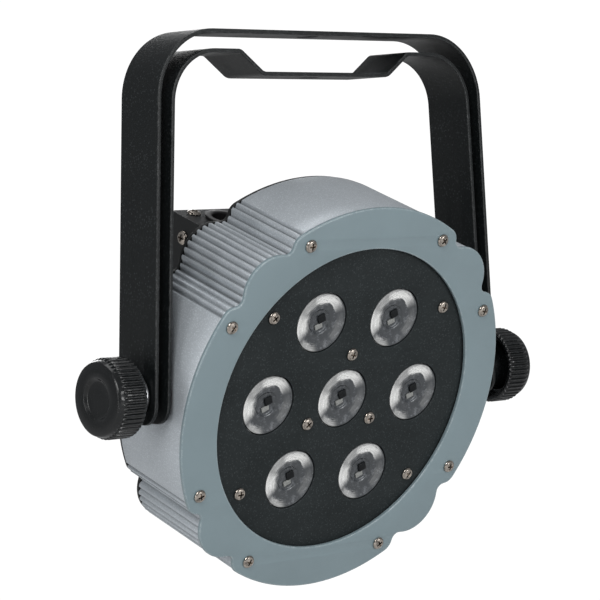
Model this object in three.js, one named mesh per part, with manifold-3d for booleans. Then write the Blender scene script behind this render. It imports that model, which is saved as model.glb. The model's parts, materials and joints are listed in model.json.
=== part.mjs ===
// A slim LED par can light hung in a double yoke, with the head tilted down.
//
// Millimetres, +Z up, front facing -Y. The origin is the centre of the clamp hole
// on the top face of the outer yoke, where a hook clamp would carry the light.
// The head turns on a pivot axis parallel to X. Everything in the head is placed
// in a "disc" group whose origin is the centre of the bezel's front face, with +Y
// running backwards into the body.

import Module from "manifold-3d";
import * as THREE from "three";
import { mergeVertices } from "three/addons/utils/BufferGeometryUtils.js";

const wasm = await Module();
wasm.setup();

// ---------------------------------------------------------------- dimensions

const GAP = 0.3; // air between neighbouring pieces
const DEGREE = Math.PI / 180;

// Head pose and position on the pivot axis.
const HEAD_TILT = 19;
const PIVOT_DEPTH = 24; // pivot axis behind the bezel's front face
const PIVOT_RISE = 1.2; // pivot axis above the disc's centre

// Scalloped outline shared by bezel, housing and rear cover.
const OUTLINE_RADIUS = 99.8;
const LOBE_RISE = 2.3; // lobe tips beyond the round outline
const LOBE_ARC = 18.5;
const NOTCH_ANGLE = 10.2; // from each diagonal to the centre of its notches
const NOTCH_ARC = 4;
const SHOULDER_ARC = 7;

// Housing.
const HOUSING_INSET = 0.5; // housing outline inside the bezel outline
const HOUSING_DEPTH = 51.5; // bezel front to housing rear
const HOUSING_WALL = 11.8; // outline to bore
const COVER_INSET = 1; // rear cover outline inside the bezel outline
const LEDGE_WIDTH = 9; // ledge that the carrier rests on
const RIB_COUNT = 17; // grooves on each diagonal
const RIB_PITCH = 2.04; // degrees
const RIB_DEPTH = 1.8;
const PIVOT_FLAT_DEPTH = 1.5; // spot face below the round outline
const PIVOT_FLAT_RADIUS = 12;

// Bezel and lens plate.
const BEZEL_THICKNESS = 2;
const BEZEL_WIDTH = 21.1; // outline to opening
const PLATE_THICKNESS = 2;
const PLATE_CLEARANCE = 1.5; // lens plate inside the housing bore
const LENS_SPACING = 47.4; // centre lens to each outer lens
const LENS_HOLE = 15.5;
const OUTER_LENSES = 6;

// Screws.
const PAN_SCREW = { head: 3.3, rise: 1.7, shank: 1.4, length: 9 };
const BOX_SCREW = { head: 3.6, rise: 1.8, shank: 1.8, length: 5 };
const SCREW_CLEARANCE = 0.3;
const BEZEL_SCREW_INSET = 7.5; // below the outline
const BEZEL_SCREW_ANGLE = 17.35; // either side of each diagonal
const PLATE_SCREW_INSET = 7.3; // inside the bezel opening
const PLATE_SCREW_ANGLE = 39.5; // either side of the level line
const CARRIER_SCREW_SPACE = 3.5; // between the centre lens's flange and a carrier pillar
const CARRIER_SCREW_ANGLES = [90, 210, 330];

// Light engine.
const CARRIER_CLEARANCE = 5; // carrier inside the housing bore
const CARRIER_THICKNESS = 4;
const PILLAR_RADIUS = 3.5;
const WIRE_HOLE = 5;
const BOARD_MARGIN = 0.4; // board edge to the outer pillars
const BOARD_THICKNESS = 1.6;
const EMITTER_SIZE = 5.2;
const EMITTER_RISE = 1.2;
const EMITTER_DOME = 1.6;
const LENS_RECESS = 0.5; // lens face behind the plate's face
const LENS_FLANGE = 0.9; // flange beyond the lens hole
const LENS_FLANGE_THICKNESS = 1.8;
const LENS_TAIL = 15; // flange to the lens's rear end
const LENS_TAIL_RADIUS = 7;
const LENS_POCKET_RADIUS = 4.4;
const LENS_POCKET_DEPTH = 6;

// Rear cover and electronics box.
const COVER_THICKNESS = 2;
const COVER_WIRE_HOLE = 9;
const BOX_HALF_WIDTH = 57;
const BOX_TOP = 70;
const BOX_BOTTOM = -62;
const BOX_THICKNESS = 35.9;
const SHEET = 1.5;
const BOX_CORNER = 2.5;
const TRAY_SIDE_MARGIN = 4;
const TAB_LENGTH = 10;
const SIDE_SCREW = { fromRear: 13, fromTop: 10 };
const TOP_SCREW = { fromSide: 9.5, fromRear: 6.4 };

// Data sockets in the box's top, power sockets in its bottom.
const DATA_SOCKET = { fromSide: 23, fromRear: 17, hole: 10.5, wall: 1.8, length: 18 };
const DATA_FLANGE = { width: 1.3, rise: 1.4 };
const DATA_FLOOR = 3;
const DATA_PIN = { radius: 1.2, length: 9, circle: 4.4 };
const DATA_PLUG = { recess: 3, clearance: 1.5 };
const LATCH = { width: 6, depth: 3.4, height: 5, proud: 1.4, travel: 1.5 };
const POWER_SOCKET = { fromSide: 29, fromRear: 18, width: 27, height: 19, length: 20 };
const POWER_FLANGE = { margin: 2.1, rise: 2 };
const POWER_WALL = 2;
const POWER_FLOOR = 3;
const ISLAND_CLEARANCE = 2.2;
const BLADE = { width: 2, thickness: 4, length: 10, spacing: 6.8, earthOffset: 3.5 };

// Boards, display and menu buttons in the box.
const DRIVER = { fromSide: 13, bottom: -36, top: 34, standoff: 7.9, thickness: 1.6 };
const DRIVER_BLOCKS = [
  { x: -21, z: -10, width: 26, height: 24, rise: 13 }, // transformer
  { x: 13, z: 15, width: 34, height: 14, rise: 8 }, // heat sink
];
const DRIVER_CANS = [
  { x: 10, z: -14, radius: 6, rise: 9 }, // coil
  { x: 26, z: -16, radius: 5, rise: 13 }, // capacitor
];
const STANDOFF_RADIUS = 3;
const STANDOFF_INSET = 6;
const CONTROL = { margin: 10, bottom: 4, top: 49, boss: 6.6, thickness: 1.6 };
const CONTROL_BOSS_RADIUS = 2.5;
const CONTROL_BOSS_INSET = 4;
const WINDOW = { width: 44, height: 15, centre: 36, flange: 2.2, flangeThickness: 1.8 };
const BUTTON = { radius: 4, proud: 2.4, flange: 1.2, flangeThickness: 2, travel: 1.2 };
const BUTTON_HEIGHT = 16;
const BUTTON_PITCH = 16;
const BUTTON_COUNT = 4;
const SWITCH_RADIUS = 2.6;

// Yokes. Half widths are taken to the strap's outer face at the pivot axis.
const YOKE_WIDTH = 29;
const STRAP = 2;
const YOKE_HEIGHT = 172.7; // pivot axis to the top face of the outer yoke
const YOKE_TAIL = 13.6; // strap below the pivot axis
const YOKE_TAIL_CORNER = 9;
const OUTER_SPLAY = 2.63;
const OUTER_BEND = 34;
const INNER_DROP = 9.4; // inner yoke's top below the outer yoke's top
const INNER_SPLAY = 2.85;
const INNER_BEND = 27;
const YOKE_SPACING = 7.6; // between the two straps' outer faces
const HEAD_CLEARANCE = 1.8; // round outline to the inner yoke
const SADDLE = { top: 54, bottom: 40, depth: 10.8, bend: 5 };
const CLAMP_HOLE = 5.5;

// Clamping knobs and pivot hardware.
const STUD_RADIUS = 4;
const STUD_CLEARANCE = 0.7; // stud in straps, washers and bushes
const STUD_IN_KNOB = 12;
const STUD_SHY = 1; // stud end inside the insert's inner end
const KNOB_HUB = { radius: 11, length: 4.6 };
const KNOB_RIM = { radius: 19.3, length: 12.5 };
const KNOB_FLUTES = 48;
const KNOB_FLUTE_DEPTH = 0.9;
const KNOB_CHAMFER = { radial: 2.5, axial: 3.5 };
const KNOB_DISH = { radius: 10, depth: 1.3, slope: 1.4 };
const KNOB_UNDERCUT = { inner: 13, wall: 3.1, depth: 7 };
const KNOB_WASHER = { radius: 11, thickness: 1.6 };
const SPACER_WALL = 3.3;
const FRICTION_RADIUS = 10;
const INSERT = { wall: 2.7, flange: 2, flangeThickness: 2.6, relief: 0.9 };

// Facets on round things.
const COARSE = 8;
const MEDIUM = 16;
const FINE = 40;
const SMOOTH_STEP = 2.2; // degrees between points on an outline with no grooves
const PLAIN_STEPS = 8; // between two diagonals' grooves

// -------------------------------------------------------------- derived sizes

// Radii in the disc.
const lobeTipRadius = OUTLINE_RADIUS + LOBE_RISE;
const housingBore = OUTLINE_RADIUS - HOUSING_WALL;
const ledgeBore = housingBore - LEDGE_WIDTH;
const bezelOpening = OUTLINE_RADIUS - BEZEL_WIDTH;
const plateRadius = housingBore - PLATE_CLEARANCE;
const bezelScrewRadius = OUTLINE_RADIUS - BEZEL_SCREW_INSET;
const plateScrewRadius = bezelOpening - PLATE_SCREW_INSET;
const carrierRadius = housingBore - CARRIER_CLEARANCE;
const carrierScrewRadius = LENS_HOLE + LENS_FLANGE + CARRIER_SCREW_SPACE + PILLAR_RADIUS;
const boardRadius = plateScrewRadius - PILLAR_RADIUS - GAP - BOARD_MARGIN;

// Depths behind the bezel's front face.
const housingFront = BEZEL_THICKNESS + GAP;
const plateFront = BEZEL_THICKNESS + GAP;
const plateBack = plateFront + PLATE_THICKNESS;
const lensFlangeFront = plateBack + GAP;
const lensFlangeBack = lensFlangeFront + LENS_FLANGE_THICKNESS;
const lensTail = lensFlangeBack + LENS_TAIL;
const boardFront = lensTail + GAP;
const boardBack = boardFront + BOARD_THICKNESS;
const carrierFront = boardBack + GAP;
const carrierBack = carrierFront + CARRIER_THICKNESS;
const ledgeFront = carrierBack + GAP;
const coverFront = HOUSING_DEPTH + GAP;
const coverBack = coverFront + COVER_THICKNESS;
const boxFront = coverBack + GAP;
const boxRear = boxFront + BOX_THICKNESS;
const panelInside = boxRear - SHEET;
const driverFront = boxFront + DRIVER.standoff;
const controlBack = panelInside - CONTROL.boss - GAP;
const controlFront = controlBack - CONTROL.thickness;
const driverHalfWidth = BOX_HALF_WIDTH - DRIVER.fromSide;
const controlHalfWidth = WINDOW.width / 2 + CONTROL.margin;

// Distances along the pivot axis.
const pivotFlat = OUTLINE_RADIUS - PIVOT_FLAT_DEPTH;
const innerHalfWidth = OUTLINE_RADIUS + HEAD_CLEARANCE + STRAP;
const outerHalfWidth = innerHalfWidth + YOKE_SPACING;
const studHole = STUD_RADIUS + STUD_CLEARANCE;
const insertBore = STUD_RADIUS + GAP;
const insertRadius = insertBore + INSERT.wall;
const insertFlange = insertRadius + INSERT.flange;
const insertFlangeEnd = housingBore - INSERT.relief;
const insertInnerEnd = insertFlangeEnd - INSERT.flangeThickness;
const spacerRadius = studHole + SPACER_WALL;
const frictionStart = pivotFlat + GAP;
const frictionEnd = innerHalfWidth - STRAP - slant(FRICTION_RADIUS, INNER_SPLAY) - GAP;
const spacerStart = innerHalfWidth + slant(spacerRadius, INNER_SPLAY) + GAP;
const spacerEnd = outerHalfWidth - STRAP - slant(spacerRadius, OUTER_SPLAY) - GAP;
const washerStart = outerHalfWidth + slant(KNOB_WASHER.radius, OUTER_SPLAY) + GAP;
const washerEnd = washerStart + KNOB_WASHER.thickness;
const hubStart = washerEnd + GAP;
const rimStart = hubStart + KNOB_HUB.length;
const rimEnd = rimStart + KNOB_RIM.length;
const knobFace = rimEnd + KNOB_CHAMFER.axial;
const studOuterEnd = hubStart + STUD_IN_KNOB;
const studInnerEnd = insertInnerEnd + STUD_SHY;

/** How far a strap's slanted face moves along X over a radius about the pivot. */
function slant(radius, splay) {
  return radius * Math.tan(splay * DEGREE);
}

// ----------------------------------------------------------------- materials

function material(color, roughness, metalness) {
  return new THREE.MeshStandardMaterial({ color, roughness, metalness });
}

const paint = {
  bezel: material(0x7d8f95, 0.45, 0.3),
  housing: material(0xa0a3ac, 0.4, 0.8),
  blackPaint: material(0x1c2022, 0.5, 0.3),
  lensPlate: material(0x2a3032, 0.8, 0.1),
  lens: material(0xd8dde0, 0.1, 0.0),
  aluminium: material(0xb4b8bb, 0.5, 0.9),
  board: material(0xe8e8e2, 0.6, 0.0),
  greenBoard: material(0x23563a, 0.6, 0.0),
  nickel: material(0xb9b1a6, 0.25, 1.0),
  zinc: material(0x9a9ca0, 0.4, 1.0),
  blackPlastic: material(0x151718, 0.45, 0.0),
  nylon: material(0x2b2b2b, 0.6, 0.0),
  fibre: material(0x5b3a2a, 0.9, 0.0),
  window: material(0x2a0808, 0.1, 0.0),
};

// ------------------------------------------------------------- solid helpers

/** Turns a closed three.js geometry into a manifold solid. */
function solid(geometry) {
  const bare = geometry.index ? geometry : mergeVertices(geometry);
  bare.deleteAttribute("normal");
  bare.deleteAttribute("uv");
  const merged = mergeVertices(bare, 1e-4);
  return new wasm.Manifold(
    new wasm.Mesh({
      numProp: 3,
      vertProperties: new Float32Array(merged.attributes.position.array),
      triVerts: new Uint32Array(merged.index.array),
    }),
  );
}

/** Turns a manifold solid back into a three.js geometry. */
function geometryOf(body) {
  const { vertProperties, triVerts } = body.getMesh();
  const geometry = new THREE.BufferGeometry();
  geometry.setAttribute("position", new THREE.BufferAttribute(vertProperties, 3));
  geometry.setIndex(new THREE.BufferAttribute(triVerts, 1));
  geometry.computeVertexNormals();
  return geometry;
}

function joined(bodies) {
  return bodies.reduce((sum, body) => sum.add(body));
}

function cut(body, tools) {
  return tools.reduce((rest, tool) => rest.subtract(tool), body);
}

/** A plate whose outline lies in the XZ plane, from y = front to y = back. */
function plate(shape, front, back, curveSegments = COARSE) {
  const options = { depth: back - front, bevelEnabled: false, curveSegments };
  const geometry = new THREE.ExtrudeGeometry(shape, options);
  geometry.rotateX(Math.PI / 2);
  geometry.translate(0, back, 0);
  return solid(geometry);
}

/** A box given by its two opposite corners. */
function block(x0, x1, y0, y1, z0, z1) {
  const geometry = new THREE.BoxGeometry(x1 - x0, y1 - y0, z1 - z0);
  geometry.translate((x0 + x1) / 2, (y0 + y1) / 2, (z0 + z1) / 2);
  return solid(geometry);
}

/**
 * A turned piece. The profile lists [radius, distance] pairs from one end of the
 * axis to the other, and distance grows along the axis named by `along`.
 */
function turned(profile, along, segments = MEDIUM) {
  const points = profile.map(([radius, distance]) => new THREE.Vector2(radius, distance));
  const geometry = new THREE.LatheGeometry(points, segments);
  if (along === "x") geometry.rotateZ(-Math.PI / 2);
  if (along === "z") geometry.rotateX(Math.PI / 2);
  return solid(geometry);
}

/** A plain rod along an axis through the origin. */
function rod(radius, from, to, along, segments = COARSE) {
  return turned([[0, from], [radius, from], [radius, to], [0, to]], along, segments);
}

/** A tube along an axis through the origin. */
function tube(outer, inner, from, to, along, segments = MEDIUM) {
  const profile = [[inner, from], [outer, from], [outer, to], [inner, to], [inner, from]];
  return turned(profile, along, segments);
}

/** Points on a circle in the XZ plane, at angles in degrees from +X. */
function polar(radius, angle) {
  return [radius * Math.cos(angle * DEGREE), radius * Math.sin(angle * DEGREE)];
}

function addMesh(parent, name, body, look) {
  const mesh = new THREE.Mesh(geometryOf(body), look);
  mesh.name = name;
  parent.add(mesh);
  return mesh;
}

// ------------------------------------------------------- the scalloped outline

/**
 * Radius of the scalloped outline at an angle away from a diagonal, in degrees.
 * Each diagonal carries a lobe between two notches, and every notch runs out
 * into the round outline through a shoulder. All four arcs meet tangentially.
 */
function scallopRadius(offset) {
  const lobeCentre = lobeTipRadius - LOBE_ARC;
  const notchSine = lobeCentre * Math.sin(NOTCH_ANGLE * DEGREE);
  const notchCentre =
    lobeCentre * Math.cos(NOTCH_ANGLE * DEGREE) +
    Math.sqrt((LOBE_ARC + NOTCH_ARC) ** 2 - notchSine ** 2);
  const shoulderCentre = OUTLINE_RADIUS - SHOULDER_ARC;
  const shoulderAngle =
    NOTCH_ANGLE +
    Math.acos(
      (notchCentre ** 2 + shoulderCentre ** 2 - (NOTCH_ARC + SHOULDER_ARC) ** 2) /
        (2 * notchCentre * shoulderCentre),
    ) / DEGREE;
  const lobeEnd = blendAngle(lobeCentre, 0, notchCentre, NOTCH_ANGLE, LOBE_ARC, NOTCH_ARC);
  const notchEnd = blendAngle(
    notchCentre, NOTCH_ANGLE, shoulderCentre, shoulderAngle, NOTCH_ARC, SHOULDER_ARC,
  );
  const angle = Math.abs(offset);
  if (angle < lobeEnd) return rayToArc(lobeCentre, 0, LOBE_ARC, angle, 1);
  if (angle < notchEnd) return rayToArc(notchCentre, NOTCH_ANGLE, NOTCH_ARC, angle, -1);
  if (angle < shoulderAngle) {
    return rayToArc(shoulderCentre, shoulderAngle, SHOULDER_ARC, angle, 1);
  }
  return OUTLINE_RADIUS;
}

/** Angle of the point where two touching arcs meet. */
function blendAngle(centreA, angleA, centreB, angleB, arcA, arcB) {
  const [ax, ay] = polar(centreA, angleA);
  const [bx, by] = polar(centreB, angleB);
  const share = arcA / (arcA + arcB);
  return Math.atan2(ay + (by - ay) * share, ax + (bx - ax) * share) / DEGREE;
}

/** Distance from the origin to an arc along a ray; side 1 is its far side. */
function rayToArc(centre, centreAngle, arc, angle, side) {
  const turn = (angle - centreAngle) * DEGREE;
  const reach = Math.sqrt(Math.max(arc ** 2 - (centre * Math.sin(turn)) ** 2, 0));
  return centre * Math.cos(turn) + side * reach;
}

/** The outline as a shape, with an optional inset and axial grooves. */
function scallopShape(inset, grooved) {
  const ribZone = (RIB_COUNT * RIB_PITCH) / 2;
  const offsets = [];
  if (grooved) {
    for (let rib = 0; rib < RIB_COUNT; rib += 1) {
      const start = -ribZone + rib * RIB_PITCH;
      offsets.push({ angle: start, sink: 0 });
      offsets.push({ angle: start + RIB_PITCH * 0.5, sink: RIB_DEPTH });
      offsets.push({ angle: start + RIB_PITCH * 0.78, sink: 0 });
    }
  } else {
    for (let angle = -ribZone; angle < ribZone - 0.1; angle += SMOOTH_STEP) {
      offsets.push({ angle, sink: 0 });
    }
  }
  const plainAngle = 90 - 2 * ribZone;
  for (let step = 0; step < PLAIN_STEPS; step += 1) {
    offsets.push({ angle: ribZone + (step * plainAngle) / PLAIN_STEPS, sink: 0 });
  }
  const points = [];
  for (let quarter = 0; quarter < 4; quarter += 1) {
    for (const { angle, sink } of offsets) {
      const fromDiagonal = angle > 45 ? angle - 90 : angle;
      const radius = scallopRadius(fromDiagonal) - inset - sink;
      points.push(new THREE.Vector2(...polar(radius, 45 + quarter * 90 + angle)));
    }
  }
  return new THREE.Shape(points);
}

function roundHole([x, z], radius) {
  return new THREE.Path().absarc(x, z, radius, 0, 2 * Math.PI, true);
}

function discShape(radius) {
  return new THREE.Shape().absarc(0, 0, radius, 0, 2 * Math.PI);
}

// ---------------------------------------------------------- shared positions

const diagonals = [45, 135, 225, 315];
const bezelScrewPoints = diagonals.flatMap((diagonal) => [
  polar(bezelScrewRadius, diagonal - BEZEL_SCREW_ANGLE),
  polar(bezelScrewRadius, diagonal + BEZEL_SCREW_ANGLE),
]);
const plateScrewAngles = [
  PLATE_SCREW_ANGLE, 180 - PLATE_SCREW_ANGLE, 180 + PLATE_SCREW_ANGLE, -PLATE_SCREW_ANGLE,
];
const plateScrewPoints = plateScrewAngles.map((angle) => polar(plateScrewRadius, angle));
const carrierScrewPoints = CARRIER_SCREW_ANGLES.map((angle) =>
  polar(carrierScrewRadius, angle),
);
const lensPoints = [[0, 0]];
for (let index = 0; index < OUTER_LENSES; index += 1) {
  lensPoints.push(polar(LENS_SPACING, (index * 360) / OUTER_LENSES));
}

const buttonPoints = [];
for (let index = 0; index < BUTTON_COUNT; index += 1) {
  buttonPoints.push((index - (BUTTON_COUNT - 1) / 2) * BUTTON_PITCH);
}

const dataAcross = BOX_HALF_WIDTH - DATA_SOCKET.fromSide;
const dataDepth = boxRear - DATA_SOCKET.fromRear;
const dataBore = DATA_SOCKET.hole - GAP - DATA_SOCKET.wall;
const powerAcross = BOX_HALF_WIDTH - POWER_SOCKET.fromSide;
const powerDepth = boxRear - POWER_SOCKET.fromRear;
const sideScrewDepth = boxRear - SIDE_SCREW.fromRear;
const sideScrewHeight = BOX_TOP - SIDE_SCREW.fromTop;
const topScrewAcross = BOX_HALF_WIDTH - TOP_SCREW.fromSide;
const topScrewDepth = boxRear - TOP_SCREW.fromRear;

// ---------------------------------------------------------------- assemblies

const light = new THREE.Group();
light.name = "par_can_light";

const pivot = new THREE.Group();
pivot.position.z = -YOKE_HEIGHT;
light.add(pivot);

const head = new THREE.Group();
head.rotation.x = HEAD_TILT * DEGREE;
pivot.add(head);

const disc = new THREE.Group();
disc.position.set(0, -PIVOT_DEPTH, -PIVOT_RISE);
head.add(disc);

// ------------------------------------------------------------- cross-head screw

/** A cross-head screw on the Y axis: its head faces -Y, its seat is at y = 0. */
function crossScrew({ head: radius, rise, shank, length }) {
  const body = turned(
    [
      [0, -rise],
      [radius * 0.72, -rise],
      [radius, -rise * 0.5],
      [radius, -GAP],
      [shank, -GAP],
      [shank, length],
      [0, length],
    ],
    "y",
    COARSE,
  );
  const slotHalf = radius * 0.12;
  const slotReach = radius * 0.5;
  const slotFloor = -rise * 0.3;
  return cut(body, [
    block(-slotReach, slotReach, -rise - 1, slotFloor, -slotHalf, slotHalf),
    block(-slotHalf, slotHalf, -rise - 1, slotFloor, -slotReach, slotReach),
  ]);
}

const panScrewBody = crossScrew(PAN_SCREW);
const boxScrewBody = crossScrew(BOX_SCREW);

function placeScrews(prefix, points, seat) {
  points.forEach(([x, z], index) => {
    const mesh = addMesh(disc, `${prefix}_${index + 1}`, panScrewBody, paint.nickel);
    mesh.position.set(x, seat, z);
  });
}

/** Holes for the shanks of screws that enter from the front. */
function screwHoles(points, from, to) {
  return points.map(([x, z]) =>
    rod(PAN_SCREW.shank + SCREW_CLEARANCE, from, to, "y").translate([x, 0, z]),
  );
}

// --------------------------------------------------------------- head casings

function buildHousing() {
  const shell = plate(scallopShape(HOUSING_INSET, true), housingFront, HOUSING_DEPTH);
  const frontBore = rod(housingBore, housingFront - 1, ledgeFront, "y", FINE);
  const rearBore = rod(ledgeBore, ledgeFront - 1, HOUSING_DEPTH + 1, "y", FINE);
  const cuts = [frontBore, rearBore];
  const holeEnd = PAN_SCREW.length + GAP;
  cuts.push(...screwHoles(bezelScrewPoints, 0, holeEnd));
  for (const side of [-1, 1]) {
    const place = [0, PIVOT_DEPTH, PIVOT_RISE];
    const ends = (from, to) => (side > 0 ? [from, to] : [-to, -from]);
    const flat = rod(PIVOT_FLAT_RADIUS, ...ends(pivotFlat, lobeTipRadius + 5), "x", MEDIUM);
    const bore = rod(insertRadius + GAP, ...ends(ledgeBore - 5, lobeTipRadius), "x", MEDIUM);
    const reliefEnds = ends(ledgeBore - 5, insertFlangeEnd + GAP);
    const relief = rod(insertFlange + GAP, ...reliefEnds, "x", MEDIUM);
    cuts.push(flat.translate(place), bore.translate(place), relief.translate(place));
  }
  addMesh(disc, "housing", cut(shell, cuts), paint.housing);
}

function buildBezel() {
  const shape = scallopShape(0, false);
  shape.holes.push(roundHole([0, 0], bezelOpening));
  const ring = plate(shape, 0, BEZEL_THICKNESS, FINE / 2);
  addMesh(disc, "bezel", cut(ring, screwHoles(bezelScrewPoints, -1, 5)), paint.bezel);
}

function buildLensPlate() {
  const shape = discShape(plateRadius);
  for (const point of lensPoints) shape.holes.push(roundHole(point, LENS_HOLE));
  const body = plate(shape, plateFront, plateBack, FINE / 4);
  const holes = screwHoles([...plateScrewPoints, ...carrierScrewPoints], 0, 10);
  addMesh(disc, "lens_plate", cut(body, holes), paint.lensPlate);
}

function buildRearCover() {
  const shape = scallopShape(COVER_INSET, false);
  shape.holes.push(roundHole([0, 0], COVER_WIRE_HOLE));
  addMesh(disc, "rear_cover", plate(shape, coverFront, coverBack), paint.blackPaint);
}

// --------------------------------------------------------------- light engine

function buildCarrier() {
  const spreader = rod(carrierRadius, carrierFront, carrierBack, "y", FINE);
  const pillarTop = plateBack + GAP;
  const points = [...plateScrewPoints, ...carrierScrewPoints];
  const pillars = points.map(([x, z]) =>
    rod(PILLAR_RADIUS, pillarTop, carrierFront + 1, "y").translate([x, 0, z]),
  );
  const holeEnd = plateFront + PAN_SCREW.length + GAP;
  const wireHole = rod(WIRE_HOLE, carrierFront - 2, ledgeFront + 1, "y");
  const wirePoint = polar(LENS_SPACING, 90);
  const cuts = [
    ...screwHoles(points, 0, holeEnd),
    wireHole.translate([wirePoint[0], 0, wirePoint[1]]),
  ];
  addMesh(disc, "led_carrier", cut(joined([spreader, ...pillars]), cuts), paint.aluminium);
}

function buildLedBoard() {
  const pcb = rod(boardRadius, boardFront, boardBack, "y", FINE / 2);
  const pillarHoles = carrierScrewPoints.map(([x, z]) =>
    rod(PILLAR_RADIUS + GAP, boardFront - 1, boardBack + 1, "y").translate([x, 0, z]),
  );
  const wirePoint = polar(LENS_SPACING, 90);
  const wireHole = rod(WIRE_HOLE, boardFront - 1, boardBack + 1, "y");
  const emitterFront = boardFront - EMITTER_RISE;
  const half = EMITTER_SIZE / 2;
  const emitters = lensPoints.flatMap(([x, z]) => [
    block(x - half, x + half, emitterFront, boardFront + 0.5, z - half, z + half),
    turned(
      [
        [0, emitterFront - EMITTER_DOME],
        [EMITTER_DOME * 0.7, emitterFront - EMITTER_DOME * 0.7],
        [EMITTER_DOME, emitterFront + 0.2],
        [0, emitterFront + 0.2],
      ],
      "y",
      COARSE,
    ).translate([x, 0, z]),
  ]);
  const board = cut(pcb, [...pillarHoles, wireHole.translate([wirePoint[0], 0, wirePoint[1]])]);
  addMesh(disc, "led_board", joined([board, ...emitters]), paint.board);
}

function buildLenses() {
  const face = plateFront + LENS_RECESS;
  const rim = LENS_HOLE - GAP;
  const lens = turned(
    [
      [0, face],
      [rim, face],
      [rim, lensFlangeFront],
      [LENS_HOLE + LENS_FLANGE, lensFlangeFront],
      [LENS_HOLE + LENS_FLANGE, lensFlangeBack],
      [rim - 0.6, lensFlangeBack],
      [(rim + LENS_TAIL_RADIUS) / 2 + 1.2, (lensFlangeBack + lensTail) / 2],
      [LENS_TAIL_RADIUS, lensTail],
      [LENS_POCKET_RADIUS, lensTail],
      [LENS_POCKET_RADIUS - 0.4, lensTail - LENS_POCKET_DEPTH],
      [0, lensTail - LENS_POCKET_DEPTH - 0.6],
    ],
    "y",
  );
  lensPoints.forEach(([x, z], index) => {
    const mesh = addMesh(disc, index === 0 ? "lens_centre" : `lens_${index}`, lens, paint.lens);
    mesh.position.set(x, 0, z);
  });
}

// ------------------------------------------------------------ electronics box

/** A rectangle with rounded corners in the XY plane, extruded along Z. */
function roundedTray(x0, x1, y0, y1, z0, z1, corner) {
  const shape = new THREE.Shape();
  shape.moveTo(x0, y0);
  shape.lineTo(x1, y0);
  shape.lineTo(x1, y1 - corner);
  shape.absarc(x1 - corner, y1 - corner, corner, 0, Math.PI / 2);
  shape.absarc(x0 + corner, y1 - corner, corner, Math.PI / 2, Math.PI);
  shape.lineTo(x0, y0);
  const options = { depth: z1 - z0, bevelEnabled: false, curveSegments: 4 };
  const geometry = new THREE.ExtrudeGeometry(shape, options);
  geometry.translate(0, 0, z0);
  return solid(geometry);
}

function buildRearBox() {
  const outer = roundedTray(
    -BOX_HALF_WIDTH, BOX_HALF_WIDTH, boxFront, boxRear, BOX_BOTTOM, BOX_TOP, BOX_CORNER,
  );
  const inner = roundedTray(
    -BOX_HALF_WIDTH + SHEET, BOX_HALF_WIDTH - SHEET, boxFront - 1, panelInside,
    BOX_BOTTOM + SHEET, BOX_TOP - SHEET, BOX_CORNER - SHEET,
  );
  const cuts = [];
  for (const side of [-1, 1]) {
    const data = rod(DATA_SOCKET.hole, BOX_TOP - 5, BOX_TOP + 5, "z", MEDIUM);
    cuts.push(data.translate([side * dataAcross, dataDepth, 0]));
    const halfWidth = POWER_SOCKET.width / 2 + GAP;
    const halfDepth = POWER_SOCKET.height / 2 + GAP;
    const power = block(
      -halfWidth, halfWidth, -halfDepth, halfDepth, BOX_BOTTOM - 5, BOX_BOTTOM + 5,
    );
    cuts.push(power.translate([side * powerAcross, powerDepth, 0]));
    const screwHole = BOX_SCREW.shank + SCREW_CLEARANCE;
    const topHole = rod(screwHole, BOX_TOP - 5, BOX_TOP + 5, "z");
    cuts.push(topHole.translate([side * topScrewAcross, topScrewDepth, 0]));
    const sideHole = rod(screwHole, -5, 5, "x");
    cuts.push(sideHole.translate([side * BOX_HALF_WIDTH, sideScrewDepth, sideScrewHeight]));
  }
  const windowX = WINDOW.width / 2 + GAP;
  const windowZ = WINDOW.height / 2 + GAP;
  cuts.push(
    block(
      -windowX, windowX, panelInside - 1, boxRear + 1,
      WINDOW.centre - windowZ, WINDOW.centre + windowZ,
    ),
  );
  for (const x of buttonPoints) {
    const hole = rod(BUTTON.radius + GAP, panelInside - 1, boxRear + 1, "y", MEDIUM);
    cuts.push(hole.translate([x, 0, BUTTON_HEIGHT]));
  }
  const bossX = controlHalfWidth - CONTROL_BOSS_INSET;
  const bossEnd = controlBack + GAP;
  const bosses = [];
  for (const x of [-bossX, bossX]) {
    for (const z of [CONTROL.bottom + CONTROL_BOSS_INSET, CONTROL.top - CONTROL_BOSS_INSET]) {
      const boss = rod(CONTROL_BOSS_RADIUS, bossEnd, panelInside + 0.5, "y");
      bosses.push(boss.translate([x, 0, z]));
    }
  }
  addMesh(disc, "rear_box", joined([cut(outer.subtract(inner), cuts), ...bosses]), paint.blackPaint);
}

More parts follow.
